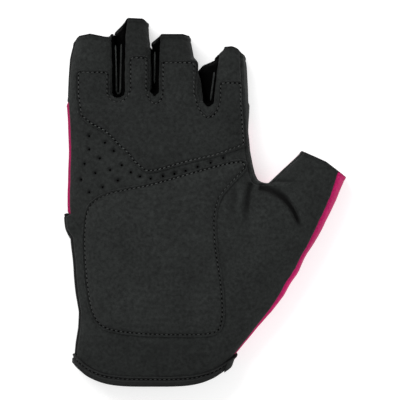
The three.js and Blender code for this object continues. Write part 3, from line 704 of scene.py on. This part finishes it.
def suede(name, color, spread=0.35):
    """Napped synthetic suede: short fibres and soft mottling."""
    material, tree, shader = new_material(name, color, 0.92, 0.05, 0.4, (0.9, 0.93, 0.91))
    place = object_place(tree)
    fibre = noise(tree, place, 1500, 3.0, 0.6)
    grain = noise(tree, place, 620, 2.0, 0.55)
    mottle = noise(tree, place, 75, 3.0, 0.6)
    dark = tuple(c * (1 - spread) for c in color)
    light = tuple(c * (1 + spread) for c in color)
    base = ramp(tree, grain, [(0.3, dark), (0.7, light)])
    base = overlaid(tree, base, fibre, 0.25, 0.2, 0.5)
    base = overlaid(tree, base, mottle, 0.2, 0.12, 0.6)
    shaded(tree, shader, base)
    bump(tree, shader, summed(tree, fibre, grain, 1.2), 0.00022, 0.8)
    return material


def knit(name, color, dark, roughness, sheen, pitch=0.00075, specular=0.16):
    """Fine stretch knit: small loops close together."""
    material, tree, shader = new_material(name, color, roughness, sheen, 0.35, color, specular)
    place = object_place(tree)
    loops = add_node(tree, "ShaderNodeTexVoronoi", Vector=place, Scale=1 / pitch)
    speck = noise(tree, place, 900, 2.0)
    level = add_node(tree, "ShaderNodeMath")
    level.operation = "DIVIDE"
    level.inputs[1].default_value = 1.8  # the most that the loops and specks add up to
    tree.links.new(summed(tree, loops.outputs["Distance"], speck, 0.8), level.inputs[0])
    base = ramp(tree, level.outputs[0], [(0.25, color), (0.65, dark)])
    mottle = noise(tree, place, 110, 2.0)
    shaded(tree, shader, overlaid(tree, base, mottle, 0.2, 0.1, 0.5))
    bump(tree, shader, level.outputs[0], -0.00016, 0.8)
    return material


def thread(name, color):
    material, tree, shader = new_material(name, color, 0.6, 0.05, 0.3, specular=0.35)
    twist = noise(tree, object_place(tree), 3200, 1.0)
    shaded(tree, shader, ramp(tree, twist, [(0.2, tuple(c * 0.7 for c in color)), (0.7, color)]))
    bump(tree, shader, twist, 0.0001, 0.7)
    return material


palm_suede = suede("suede_palm", (0.0128, 0.0142, 0.0136))
patch_suede = suede("suede_patch", (0.0118, 0.0131, 0.0126))
pad_suede = suede("suede_pad", (0.0138, 0.0152, 0.0146))
black_yarns = (0.0085, 0.009, 0.0088), (0.003, 0.0032, 0.0031)
black_knit = knit("knit_black", *black_yarns, 0.85, 0.03)
# The black knit without its sheen and gloss, for the gussets deep between the fingers: painted shade.
valley_shadow_knit = knit("knit_valley_shadow", *black_yarns, 0.9, 0.0, specular=0.02)
# The black knit made lighter, for the gussets' turned edges: painted highlight.
lit_ridge_knit = knit("knit_ridge_highlight", (0.028, 0.03, 0.029), (0.012, 0.013, 0.0125), 0.85, 0.05)
magenta_knit = knit("knit_magenta", (0.52, 0.009, 0.125), (0.36, 0.005, 0.085), 0.75, 0.04)
strap_knit = knit("knit_strap", (0.0145, 0.0155, 0.015), (0.006, 0.0065, 0.0063), 0.8, 0.05)
tape_weave = knit("tape_weave", (0.0135, 0.0148, 0.0142), (0.005, 0.0055, 0.0053), 0.7, 0.04, 0.0005)
black_thread = thread("thread_black", (0.036, 0.039, 0.037))
# Near-black, without gloss, for the needle holes: painted shade.
needle_hole_shade = new_material("needle_hole_shade", (0.0012, 0.0012, 0.0012), 1.0, specular=0.0)[0]

# The skin, clipped at its open ends, and cut into panels along the seams.
skin = skin_net()
skin = clip(skin, end_room(skin[0]))


def at(mesh):
    return mesh[0].T[:3]


valleys = [valley(*v) for v in VALLEYS]
thumb_gusset = np.vstack([polyline(THUMB_GUSSET), np.array(THUMB_GUSSET_OUTSIDE) * (WIDTH, LENGTH)])
gusset_outlines = dict(zip(VALLEY_NAMES + ["gusset_index_thumb"], valleys + [thumb_gusset]))


def outside_gussets(mesh, sign=-1):
    return sign * np.max([inside_of(line, mesh[0]) for line in gusset_outlines.values()], axis=0)


def palm_side(mesh):
    x, y, z = at(mesh)
    return z - seam_height(x, y)


low_seam = PALM_HEIGHT * LOW_SEAM
palm = clip(skin, palm_side(skin))
palm = clip(palm, outside_gussets(palm))
under = clip(skin, -palm_side(skin))
back_open = clip(under, outside_gussets(under))
back_low = clip(under, outside_gussets(under, 1))
back_low = clip(back_low, low_seam - back_low[0][:, 2])
back = joined(back_open, back_low)

gussets = {}
for name, line in gusset_outlines.items():
    part = clip(skin, inside_of(line, skin[0]))
    gussets[name] = clip(part, part[0][:, 2] - low_seam)


def knuckle_side(mesh):
    x, y, _ = at(mesh)
    return y - line_y(KNUCKLE, x)


def wrist_side(mesh):
    x, y, _ = at(mesh)
    return line_x(WRIST_PANEL, y) - x


finger_back = clip(back, knuckle_side(back))
hand_back = clip(back, -knuckle_side(back))
wrist_part = clip(hand_back, wrist_side(hand_back))
hand_back = clip(hand_back, -wrist_side(hand_back))


def at_end(p):
    return end_room(p) < 0.3


def at_seam(p):
    return ~at_end(p)


def seam_dip(mesh, d):
    """Cloth turns in at its seams, and puckers a little along them."""
    pucker = 1 + 0.25 * ripple(mesh[0], 5, 5)
    return -0.6 * pucker * hump(d, 0.75) + 0.14 * hump(d - 1.7, 0.9)


def hem_roll(d):
    """Turned hems at open ends: a slightly thicker band with its stitch line pulled in."""
    return 0.18 * smooth((2.6 - d) / 1.2) - 0.22 * hump(d - 1.9, 0.4) - 0.15 * smooth(1 - d / 0.5)


VENTS = [(-0.394, 0.677), (-0.304, 0.659), (-0.256, 0.637), (-0.394, 0.641), (-0.334, 0.617), (-0.42, 0.602),
         (-0.211, 0.598), (-0.276, 0.585), (-0.16, 0.579), (-0.359, 0.577), (-0.109, 0.568), (-0.233, 0.557),
         (-0.439, 0.559), (-0.05, 0.562), (0.018, 0.569), (-0.318, 0.539), (-0.393, 0.525), (0.082, 0.575),
         (0.144, 0.583), (0.21, 0.594), (0.283, 0.605), (0.353, 0.618)]
VENT_RADIUS = 0.52
vent_places = np.array(VENTS) * (WIDTH, LENGTH)


def vent_distance(p):
    return np.min([np.hypot(p[:, 0] - cx, p[:, 1] - cy) for cx, cy in vent_places], axis=0)


def near_fold(p):
    return np.min([np.abs(fold_places(fold, p)[0]) for fold in FOLDS], axis=0) < 3.0


palm = refine(palm, lambda p: near_fold(p) & (p[:, 2] > 10), 0.5)
palm = refine(palm, lambda p: vent_distance(p) < 1.5, 0.22)
palm = clip(palm, vent_distance(palm[0]) - VENT_RADIUS)


def broad_darkening(p):
    """Broad darkening, with soft unevenness: darker at the middle fingers, the thumb and below the pad."""
    x, y = p[:, 0] / WIDTH, p[:, 1] / LENGTH
    fingers = smooth((y - 0.85) / 0.05) * smooth((x + 0.27) / 0.03) * smooth((0.23 - x) / 0.03)
    low, thumb = smooth((0.155 - y) / 0.05), smooth((x - 0.7) / 0.12)
    return 0.06 * ripple(p, 31, 45) - 0.26 * fingers - 0.18 * low - 0.1 * thumb


def cloth_shade(mesh, seam, hem, seam_shade=0.4):
    """Painted shade: dark in the folds and light on their ridges, in the seams' grooves, and at the hems'
    edges and stitch lines; the broad darkening is added.
    """
    p = mesh[0]
    top = smooth((p[:, 5] + 0.2) / 0.6)
    shade = 1 - fold_field(p, "dark") * top - seam_shade * hump(seam, 0.45)
    shade -= 0.6 * hump(hem, 0.45) + 0.3 * hump(hem - 1.4, 0.3)
    return shade + broad_darkening(p)


# Painted shade for the cloth's inner side, which lies in the glove's shadow; no lining is built.
PAINTED_INSIDE_SHADE = 0.35  # of the cloth's inner side


def dress(name, mesh, material, slot, relief=None, seam_shade=0.4, shade=0.0, inside_shade=PAINTED_INSIDE_SHADE):
    """A panel of cloth. Its relief, in mm, is added to the seams', the hems' and the folds'."""
    seam, hem = border_distance(mesh, at_seam), border_distance(mesh, at_end)
    offset = seam_dip(mesh, seam) + hem_roll(hem) - unevenness(mesh)
    if relief is not None:
        offset = offset + relief(mesh, seam)
    points, faces = solid(mesh, offset, offset - CLOTH, fold_drop(mesh))
    outside = cloth_shade(mesh, seam, hem, seam_shade) + shade
    return add_piece(name + "_cloth", points, faces, material, (name,), slot,
                     shade=np.concatenate([outside, outside * inside_shade]))


def strap_corner(mesh, seam):
    """Where the strap's root lifts the palm panel's edge at the little finger's side."""
    x, y, _ = at(mesh)
    window = smooth((0.467 - y / LENGTH) / 0.008) * smooth((y / LENGTH - 0.4) / 0.03)
    return 2.6 * window * hump(seam, 3.5) * (x < 0)


def deep_valley(mesh, seam):
    """Finger gussets lie back from the palm panel's edge."""
    return -0.5 * smooth(seam / 1.4) * smooth((mesh[0][:, 2] - 10.5) / 3)


# Round each vent the cloth dips and is darkened: painted shade.
near_vent = hump(vent_distance(palm[0]), 0.9)
dress("palm_panel", palm, palm_suede, "suede", lambda mesh, seam: strap_corner(mesh, seam) - 0.12 * near_vent,
      shade=-0.2 * near_vent)
little_side = smooth((-0.35 - hand_back[0][:, 0] / WIDTH) / 0.05)
dress("back_panel", hand_back, magenta_knit, "magenta_knit", seam_shade=0.12,
      shade=0.12 - 0.45 * little_side, inside_shade=0.1)
dress("finger_back_panel", finger_back, black_knit, "black_knit")
dress("wrist_panel", wrist_part, black_knit, "black_knit")
# The gussets between the fingers are darkened nearly to black: painted shade of the deep valleys.
for name, mesh in gussets.items():
    if name == "gusset_index_thumb":
        dress(name, mesh, palm_suede, "black_knit", seam_shade=0.3, shade=-0.08)
    else:
        dress(name, mesh, valley_shadow_knit, "black_knit", deep_valley, shade=-0.8)

# Patches sewn onto the palm.
PAD = [(-0.375, 0.503), (-0.294, 0.526), (-0.194, 0.538), (-0.053, 0.552), (0.1, 0.573), (0.258, 0.595),
       (0.372, 0.609), (0.444, 0.614), (0.478, 0.606), (0.475, 0.587), (0.447, 0.568), (0.394, 0.541),
       (0.344, 0.51), (0.319, 0.473), (0.314, 0.435), (0.322, 0.372), (0.344, 0.303), (0.358, 0.234),
       (0.355, 0.177), (0.321, 0.145), (0.222, 0.135), (0, 0.135), (-0.169, 0.14), (-0.28, 0.149),
       (-0.345, 0.167), (-0.385, 0.202), (-0.405, 0.247), (-0.422, 0.321), (-0.428, 0.383),
       (-0.425, 0.435), (-0.411, 0.476)]
GRIP_LOBES = [  # left, right, top, root
    (-0.464, -0.277, 0.856, 0.79), (-0.175, -0.061, 0.895, 0.8), (0.003, 0.203, 0.882, 0.79),
    (0.322, 0.461, 0.827, 0.77)]
GRIP_CUTS = [0.775, 0.771, 0.734]  # how low the edge runs between two lobes
GRIP_LOWER = [(0.478, 0.651), (0.448, 0.644), (0.322, 0.621), (0.208, 0.608), (0.106, 0.595), (0.039, 0.585),
              (-0.017, 0.578), (-0.056, 0.576), (-0.086, 0.579), (-0.143, 0.601), (-0.193, 0.63),
              (-0.233, 0.647), (-0.272, 0.667), (-0.312, 0.685), (-0.383, 0.704), (-0.45, 0.731)]


def grip_outline():
    r = 0.035  # the lobes' corners
    tall = r * WIDTH / LENGTH
    points = []
    for i, (left, right, top, root) in enumerate(GRIP_LOBES):
        points += [[(left, root)], quadratic((left, top - tall), (left, top), (left + r, top)),
                   quadratic((right - r, top), (right, top), (right, top - tall)), [(right, root)]]
        if i < len(GRIP_CUTS):
            after = GRIP_LOBES[i + 1]
            low = 2 * GRIP_CUTS[i] - (root + after[3]) / 2
            points.append(quadratic((right, root), ((right + after[0]) / 2, low), (after[0], after[3]))[1:-1])
    outline = np.vstack([np.array(p) for p in points]) * (WIDTH, LENGTH)
    return np.vstack([outline, polyline(GRIP_LOWER)])


def patch(line):
    """The skin under a patch, refined along its edge."""
    part = clip(skin, np.minimum(inside_of(line, skin[0]) + 1.5, skin[0][:, 2] - PALM_HEIGHT * 0.45))
    part = refine(part, lambda p: line_distance(line, p) < 3.4, 0.42)
    return clip(part, inside_of(line, part[0]))


def edge_lift(d, thick, radius):
    """A rounded edge that rises from the cloth to a patch's thickness."""
    t = np.clip(d / radius, 0, 1)
    return thick * np.sqrt(1 - (1 - t) ** 2)


STITCH_INSET = 1.25


def sewn_in(d):
    """1 along the stitch line, at a distance from an edge, and 0 away from it."""
    return hump(d - STITCH_INSET, 0.5)


def sewn_patch(name, nodes, line, material, thick, radius, channel, crown):
    """A patch with a rounded edge, a sewn channel along it, and the crown of its filling."""
    mesh = patch(line)
    edge = border_distance(mesh)
    top = edge_lift(edge, thick, radius) - channel * sewn_in(edge) + crown(mesh, edge) - unevenness(mesh)
    body = solid(mesh, top, -0.25 - unevenness(mesh), fold_drop(mesh))
    # Painted shade in the sewn channel and at the rounded edge, the folds' painted shade and light, and the
    # broad darkening.
    shade = 1 - 0.4 * sewn_in(edge) - 0.25 * hump(edge, 0.3) - fold_field(mesh[0], "dark") + broad_darkening(mesh[0])
    return body, add_piece(name, *body, material, nodes, "suede", shade=np.tile(shade, 2))


def pad_crown(mesh, edge):
    crown = 1.9 * smooth((edge - STITCH_INSET) / 6.5) + 0.3 * hump(edge - 3.4, 1.1)
    return crown + 0.12 * ripple(mesh[0], 21, 14) * smooth(edge / 4)


pad_line, grip_line = polyline(PAD, closed=True), grip_outline()
pad_body, pad_piece = sewn_patch("heel_pad_cushion", ("heel_pad",), pad_line, pad_suede, 1.0, 0.7, 0.75,
                                 pad_crown)
grip_body, _ = sewn_patch("grip_patch_suede", ("grip_patch",), grip_line, patch_suede, 0.9, 0.6, 0.55,
                          lambda mesh, edge: 0.35 * smooth((edge - 2) / 5))


def sleeve_faces(rows, sides, closed=False):
    """The faces of a sleeve: rows of points, capped at its ends, or closed to a ring."""
    total = rows * sides
    faces = [] if closed else [tuple(range(sides - 1, -1, -1)), tuple(range(total - sides, total))]
    for i in range(rows if closed else rows - 1):
        for j in range(sides):
            a, b = i * sides + j, i * sides + (j + 1) % sides
            faces.append((a, b, (b + sides) % total, (a + sides) % total))
    return faces


# Stitches: short raised dashes of thread in the sewn channels.
def capsule(length, radius, rows=5, sides=6):
    """A rounded dash along +X, flattened towards the cloth."""
    points = []
    for t in np.arange(rows) / (rows - 1) * math.pi:
        cx, r = -math.cos(t) * length / 2, max(math.sin(t), 0.12) ** 0.5 * radius
        for a in np.arange(sides) / sides * 2 * math.pi:
            points.append((cx, math.cos(a) * r, math.sin(a) * r * 0.8))
    return np.array(points), [(f[0], *f[:0:-1]) for f in sleeve_faces(rows, sides)]


def walk(line, pitch, closed):
    """Places and directions at even steps along a line of points."""
    line = np.vstack([line, line[:1]]) if closed else line
    step = np.linalg.norm(np.diff(line, axis=0), axis=1)
    far = np.concatenate([[0], np.cumsum(step)])
    count = max(2, int(round(far[-1] / pitch)))
    where = (np.arange(count) + 0.5) * far[-1] / count
    place, ahead, behind = (np.stack([np.interp(where + d, far, column) for column in line.T], 1)
                            for d in (0, 0.3, -0.3))
    return place, unit(ahead - behind)


def inset(line, distance):
    """An outline moved inwards."""
    before, after = np.roll(line, 1, axis=0), np.roll(line, -1, axis=0)
    way = unit(after - before)
    side = np.stack([-way[:, 1], way[:, 0]], 1)
    area = (line[:, 0] * after[:, 1] - after[:, 0] * line[:, 1]).sum()
    moved = line + side * distance * np.sign(area)
    return moved[inside_of(line, moved) > distance * 0.85]


def sew(name, row, length, radius, seed, material, shade=1.0):
    """Stitches at the row's places, directions and normals, as one piece."""
    rng = np.random.default_rng(seed)
    base, faces = capsule(length, radius)
    place, way, normal = row
    way = unit(way - normal * (way * normal).sum(1)[:, None])
    side = np.cross(normal, way)
    turn = 0.2 + rng.normal(0, 0.05, len(place))[:, None]
    along = way * np.cos(turn) + side * np.sin(turn)
    side = np.cross(normal, along)
    size = rng.uniform(0.9, 1.08, len(place))
    points = np.concatenate([base @ np.stack(axes) * k + p
                             for *axes, k, p in zip(along, side, normal, size, place)])
    all_faces = [tuple(k + i * len(base) for k in f) for i in range(len(place)) for f in faces]
    shade = np.repeat(shade * rng.uniform(0.75, 1.2, len(place)), len(base))
    add_piece(name, points, all_faces, material, sharp=0, shade=shade)


def tree_of(points, faces):
    return BVHTree.FromPolygons(points.tolist(), faces.tolist())


def straight_down(tree, place):
    """Where a line down from above meets a surface, and the normal there."""
    hit, normal, _, _ = tree.ray_cast(Vector((*place, 60)), Vector((0, 0, -1)))
    return hit, normal


def on_surface(line, points, faces):
    """Stitch places along a closed line seen from above, set on a surface."""
    tree = tree_of(points, faces)
    out = []
    for place, way in zip(*walk(line, STITCH_PITCH, True)):
        hit, normal = straight_down(tree, place)
        if hit is not None and normal.z >= 0.1:
            out.append((np.array(hit) + np.array(normal) * STITCH_LIFT, (*way, 0), np.array(normal)))
    return tuple(np.array(column, float) for column in zip(*out))


STITCH, HOLE = (1.3, 0.25), (0.85, 0.33)  # length and radius
STITCH_LIFT = 0.02


def sewn_line(name, line, surface, seed, shade):
    """A row of stitches with dark dashes between them for the needle holes, painted shade."""
    place, way, normal = on_surface(line, *surface)
    sew("stitches_" + name, (place, way, normal), *STITCH, seed, black_thread, shade(place))
    between = place + way * STITCH_PITCH / 2 - normal * STITCH_LIFT
    sew("holes_" + name, (between, way, normal), *HOLE, seed, needle_hole_shade)


# The thread is lighter along the pad's top and the grip's lower edge, and darker on the grip's lobes and the
# pad's little-finger side: painted light and shade.
sewn_line("pad", inset(pad_line, STITCH_INSET), pad_body, 4,
          lambda p: 0.85 + 0.4 * smooth((p[:, 1] / LENGTH - 0.5) / 0.05) - 0.2 * (p[:, 0] < -0.3 * WIDTH))
sewn_line("grip", inset(grip_line, STITCH_INSET), grip_body, 5,
          lambda p: 1.25 - 0.5 * smooth((p[:, 1] / LENGTH - 0.7) / 0.04))


def tube(name, line, radius, material, shade, sides=8):
    """A thin roll of cloth along a line of points, slimmer at its ends."""
    way = unit(np.gradient(line, axis=0))
    side = unit(np.cross(way, (0.0, 0.0, 1.0)))
    up = np.cross(side, way)
    angle = np.arange(sides) / sides * 2 * math.pi
    fade = np.clip(np.minimum(np.arange(len(line)), np.arange(len(line))[::-1]) / 3, 0.15, 1) ** 0.5
    rings = line[:, None] + radius * fade[:, None, None] * (
        np.cos(angle)[None, :, None] * side[:, None] + np.sin(angle)[None, :, None] * up[:, None])
    shade = np.repeat(shade + 0.25 * ripple(line, 51, 4), sides)
    add_piece(name, rings.reshape(-1, 3), sleeve_faces(len(line), sides), material, sharp=0, shade=shade)


# The turned edges of the finger gussets show as thin ridges down the valleys. Their knit is the black
# knit made lighter, and their shade, above 1, brightens it further: painted highlight.
RIDGES = [  # valley, distance from its seam (mm), first and last share of its outline, left and right shade
    (0, 1.3, 0.08, 0.93, 2.6, 1.0),
    (1, 1.45, 0.57, 0.95, 1.0, 1.6),
    (2, 0.9, 0.55, 0.88, 1.0, 1.1),
]
skin_tree = tree_of(skin[0][:, :3], skin[1])
for index, distance, start, end, left, right in RIDGES:
    line = walk(inset(valleys[index], distance), 0.4, False)[0]
    row, shade = [], []
    for k in range(int(start * len(line)), int(end * len(line))):
        hit, normal = straight_down(skin_tree, line[k])
        if hit is not None and normal.z > 0.02 and hit.z > PALM_HEIGHT * 0.25:
            row.append(np.array(hit) + np.array(normal) * 0.25)
            shade.append(left if k < 0.45 * len(line) else right)
    row = np.array(row)
    for _ in range(4):
        row[1:-1] = (row[:-2] + 2 * row[1:-1] + row[2:]) / 4
    tube("seam_ridge_" + VALLEY_NAMES[index], row, 0.42, lit_ridge_knit, np.array(shade))

# The closure strap on the back, and its root at the little finger's side.
STRAP_OUTLINE = [(-0.7, 0.463), (-0.4, 0.459), (0.2, 0.412), (0.34, 0.385), (0.365, 0.335), (0.34, 0.285),
                 (0.2, 0.262), (-0.4, 0.258), (-0.7, 0.258)]
STRAP_ROOT = table("y z", [(0.2, 0.13), (0.394, 0.13), (0.412, 0.5), (0.5, 0.54)])
strap_line = polyline(STRAP_OUTLINE, closed=True)
x, y, z = at(skin)
strap = clip(skin, np.interp(y / LENGTH, STRAP_ROOT["y"], STRAP_ROOT["z"]) * PALM_HEIGHT - z)
strap = refine(strap, lambda p: line_distance(strap_line, p) < 2.5, 0.5)
strap = clip(strap, inside_of(strap_line, strap[0]))
strap_edge = border_distance(strap)
up_side = smooth((strap[0][:, 2] - 4) / 4)
low_side = 1 - smooth((strap[0][:, 1] / LENGTH - 0.39) / 0.045)
strap_top = 0.25 + edge_lift(strap_edge, STRAP - 0.25, 0.8) * (1 - 0.85 * up_side * low_side)
strap_top -= 0.3 * sewn_in(strap_edge)
# Painted shade in the stitch channel and along the strap's rounded edge.
strap_shade = 1 - 0.4 * sewn_in(strap_edge) - 0.3 * hump(strap_edge, 0.4)
add_piece("closure_strap_web", *solid(strap, strap_top, 0.12), strap_knit, ("closure_strap",), "strap_knit",
          shade=np.tile(strap_shade, 2))

# The binding: a tape folded over the wrist's edge.
TAPE_LAP = 3.0  # how far it reaches over the palm


def wrist_point(turn, along, out):
    """A place on the wrist's girth: along the hand from its edge, and out from the skin."""
    c, s = np.cos(turn), np.sin(turn)
    power = np.where(s >= 0, BODY_POWER, LOWER_POWER)
    u = np.sign(c) * np.abs(c) ** (2 / power)
    w = np.abs(s) ** (2 / power)
    edge, bow = BODY["y"][0], BODY["bow"][0]
    far = edge - bow * (1 - u**4) + along / LENGTH
    for _ in range(6):
        row = np.maximum(far + bow * (1 - u**4), edge)
        left, right, tall, bow = row_at(BODY, row, "left right height bow")
    tall = tall * PALM_HEIGHT
    belt = tall * BELT
    px = (left + right) * WIDTH / 2 + u * ((right - left) * WIDTH / 2 + out)
    high = belt + w * (tall - belt + out)
    floor = np.maximum(belt - w * (belt * FLATTENING + out), UNDER_BINDING - out)
    return np.stack([px, far * LENGTH, np.where(s >= 0, high, floor)], -1)


def turns(count):
    """Even steps round the wrist's girth."""
    fine = np.linspace(0, 2 * math.pi, 4000)
    ring = wrist_point(fine, 0, 0)
    far = np.concatenate([[0], np.cumsum(np.linalg.norm(np.diff(ring, axis=0), axis=1))])
    return np.interp(np.arange(count) / count * far[-1], far, fine)


# The tape's shade is largely painted: dark at its joint with the palm, in the stitched groove and on the lower
# edge, and light on the rolled ridge above the stitches.
TAPE_PROFILE = [  # (along, out, shade) round the folded tape
    (TAPE_LAP + 0.2, -0.2, 0.2), (TAPE_LAP + 0.15, 0.4, 0.35), (TAPE_LAP - 0.05, 0.9, 0.8),
    (TAPE_LAP - 0.4, 1.15, 1.15), (TAPE_LAP - 0.8, 1.0, 0.9), (TAPE_LAP - 1.1, 0.6, 0.25),
    (TAPE_LAP - 1.5, 0.5, 0.15), (TAPE_LAP - 1.8, 0.85, 0.4), (TAPE_LAP - 2.15, 1.15, 0.9),
    (0.4, 1.2, 0.85), (0.0, 1.12, 0.5), (-0.4, 1.2, 0.65), (-1.0, 1.15, 0.6), (-1.45, 0.8, 0.3),
    (-1.7, 0.0, 0.15), (-1.75, -0.8, 0.3), (-1.65, -1.6, 0.5), (-1.25, -2.3, 1), (-0.4, -2.55, 1),
    (1.0, -2.5, 1), (TAPE_LAP - 0.6, -2.4, 1), (TAPE_LAP, -2.1, 1), (TAPE_LAP, -1.6, 0.5),
    (TAPE_LAP - 1, -1.35, 0.5), (-0.35, -1.3, 0.5), (-0.35, 0.0, 0.5), (TAPE_LAP - 1, 0.02, 0.3)]
SIDES = 300  # of the wrist's girth
ring_turns = turns(SIDES)
wobble = 0.1 * np.sin(ring_turns * 7 + 1) + 0.07 * np.sin(ring_turns * 19 + 2)
loops, shades = [], []
for along, out, shade in TAPE_PROFILE:
    loop = wrist_point(ring_turns, along + 0.8 * wobble * (out > 0.3), out)
    if out > 0.5:
        loop[:, 2] += np.where(loop[:, 2] > 8, wobble, 0)
    loops.append(loop)
    shades.append(shade + 0.12 * ripple(loop, 41, 6))
points = np.concatenate(loops)
points[:, 2] = np.maximum(points[:, 2], ABOVE_FLOOR)
add_piece("wrist_binding_tape", points, sleeve_faces(len(TAPE_PROFILE), SIDES, closed=True), tape_weave,
          ("wrist_binding",), "binding_tape", sharp=0, shade=np.concatenate(shades))

SEWN_AT = TAPE_LAP - 1.35  # where its stitches run
ring = wrist_point(turns(2000), SEWN_AT, 0)
girth = np.linalg.norm(np.diff(ring, axis=0), axis=1).sum()
# The binding's stitches are darkened to half: painted shade of their sewn groove.
for name, start, size, material in (("stitches_binding", 0.0, (1.25, 0.2), black_thread),
                                    ("holes_binding", 0.5, (0.9, 0.3), needle_hole_shade)):
    count = int(girth / STITCH_PITCH)
    turn = np.interp((np.arange(count) + start) / count, np.arange(SIDES) / SIDES, ring_turns)
    ring = wrist_point(turn, SEWN_AT, 0.55)
    sew(name, (ring, unit(wrist_point(turn + 0.01, SEWN_AT, 0.55) - ring),
               unit(wrist_point(turn, SEWN_AT, 2.0) - ring)), *size, 6, material, 0.5)

# The binding's loose end, lapped over itself at the thumb's side.
TAB = (0.345, 0.405)  # its two sides, as shares of WIDTH
tab_turns = np.linspace(0.15, 1.0, 60)
tab_x = wrist_point(tab_turns, 0, 0)[:, 0] / WIDTH
tab_turns = tab_turns[(tab_x > TAB[0]) & (tab_x < TAB[1])]
tab_profile = [(TAPE_LAP + 0.3, 1.0), (TAPE_LAP + 0.2, 1.9), (TAPE_LAP - 0.5, 2.25), (TAPE_LAP - 1.4, 1.95),
               (0.6, 2.35), (-0.9, 2.35), (-1.9, 1.9), (-2.3, 1.1), (-1.2, 1.1), (0.6, 1.1)]
loops = []
for k, turn in enumerate(tab_turns):
    edge = math.sin(math.pi * min(max((k + 0.4) / (len(tab_turns) - 0.2), 0.0), 1.0)) ** 0.35
    loops.append(np.array([wrist_point(np.array([turn]), a * (0.9 + 0.1 * edge), 1.0 + (o - 1.0) * edge)[0]
                           for a, o in tab_profile]))
add_piece("binding_overlap_tape", np.concatenate(loops), sleeve_faces(len(tab_turns), len(tab_profile)),
          tape_weave, ("binding_overlap",), "binding_tape", sharp=50)

# Floor, light and camera.
FLOOR_REACH, FLOOR_GLOW, SKY = 3.0, 0.55, 0.62
floor_mesh = bpy.data.meshes.new("floor")
corners = np.array([(-1, -1, 0), (1, -1, 0), (1, 1, 0), (-1, 1, 0)]) * FLOOR_REACH
floor_mesh.from_pydata(corners.tolist(), [], [(0, 1, 2, 3)])
floor = bpy.data.objects.new("floor", floor_mesh)
floor_material, _, floor_shader = new_material("floor_paper", (0.6, 0.6, 0.6), 0.9)
floor_shader.inputs["Emission Color"].default_value = (1, 1, 1, 1)
floor_shader.inputs["Emission Strength"].default_value = FLOOR_GLOW
floor_mesh.materials.append(floor_material)
bpy.context.scene.collection.objects.link(floor)

world = bpy.data.worlds.new("studio")
world.use_nodes = True
sky = world.node_tree.nodes["Background"]
sky.inputs["Color"].default_value = (1, 1, 1, 1)
sky.inputs["Strength"].default_value = SKY
bpy.context.scene.world = world


def area_light(name, place, size, power):
    """A square lamp that faces the origin."""
    light = bpy.data.lights.new(name, "AREA")
    light.shape = "RECTANGLE"
    light.size = light.size_y = size
    light.energy = power
    lamp = bpy.data.objects.new(name, light)
    lamp.location = place
    lamp.rotation_euler = (-Vector(place)).to_track_quat("-Z", "Y").to_euler()
    bpy.context.scene.collection.objects.link(lamp)


area_light("key", (-0.45, 0.6, 0.85), 0.6, 9.0)
area_light("fill", (0.7, -0.2, 0.8), 0.7, 3.0)
bpy.context.scene.view_settings.view_transform = "Standard"

# The photograph is square on and 400 pixels wide. On it the chart's centre line is at 160 pixels and the
# palm 180 wide; the wrist's end is at 386 pixels, and the glove 368 long.
VIEW_DROP = 0.2
VIEW_CENTRE = ((200 - 160) / 180 * WIDTH - CHART_CENTRE[0],
               (386 - 200) / 368 * LENGTH - CHART_CENTRE[1] - VIEW_DROP)
VIEW_WIDTH = 399.5 / 180 * WIDTH
VIEW_DISTANCE = 2.4
MID_HEIGHT = 0.01  # of the glove's outline, where the scale has to be right
SENSOR = 36.0
camera_data = bpy.data.cameras.new("camera")
camera_data.sensor_width = SENSOR
camera_data.lens = SENSOR * (VIEW_DISTANCE - MID_HEIGHT) / (VIEW_WIDTH / 1000)
camera = bpy.data.objects.new("camera", camera_data)
camera.location = (VIEW_CENTRE[0] / 1000, VIEW_CENTRE[1] / 1000, VIEW_DISTANCE)
bpy.context.scene.collection.objects.link(camera)
bpy.context.scene.camera = camera
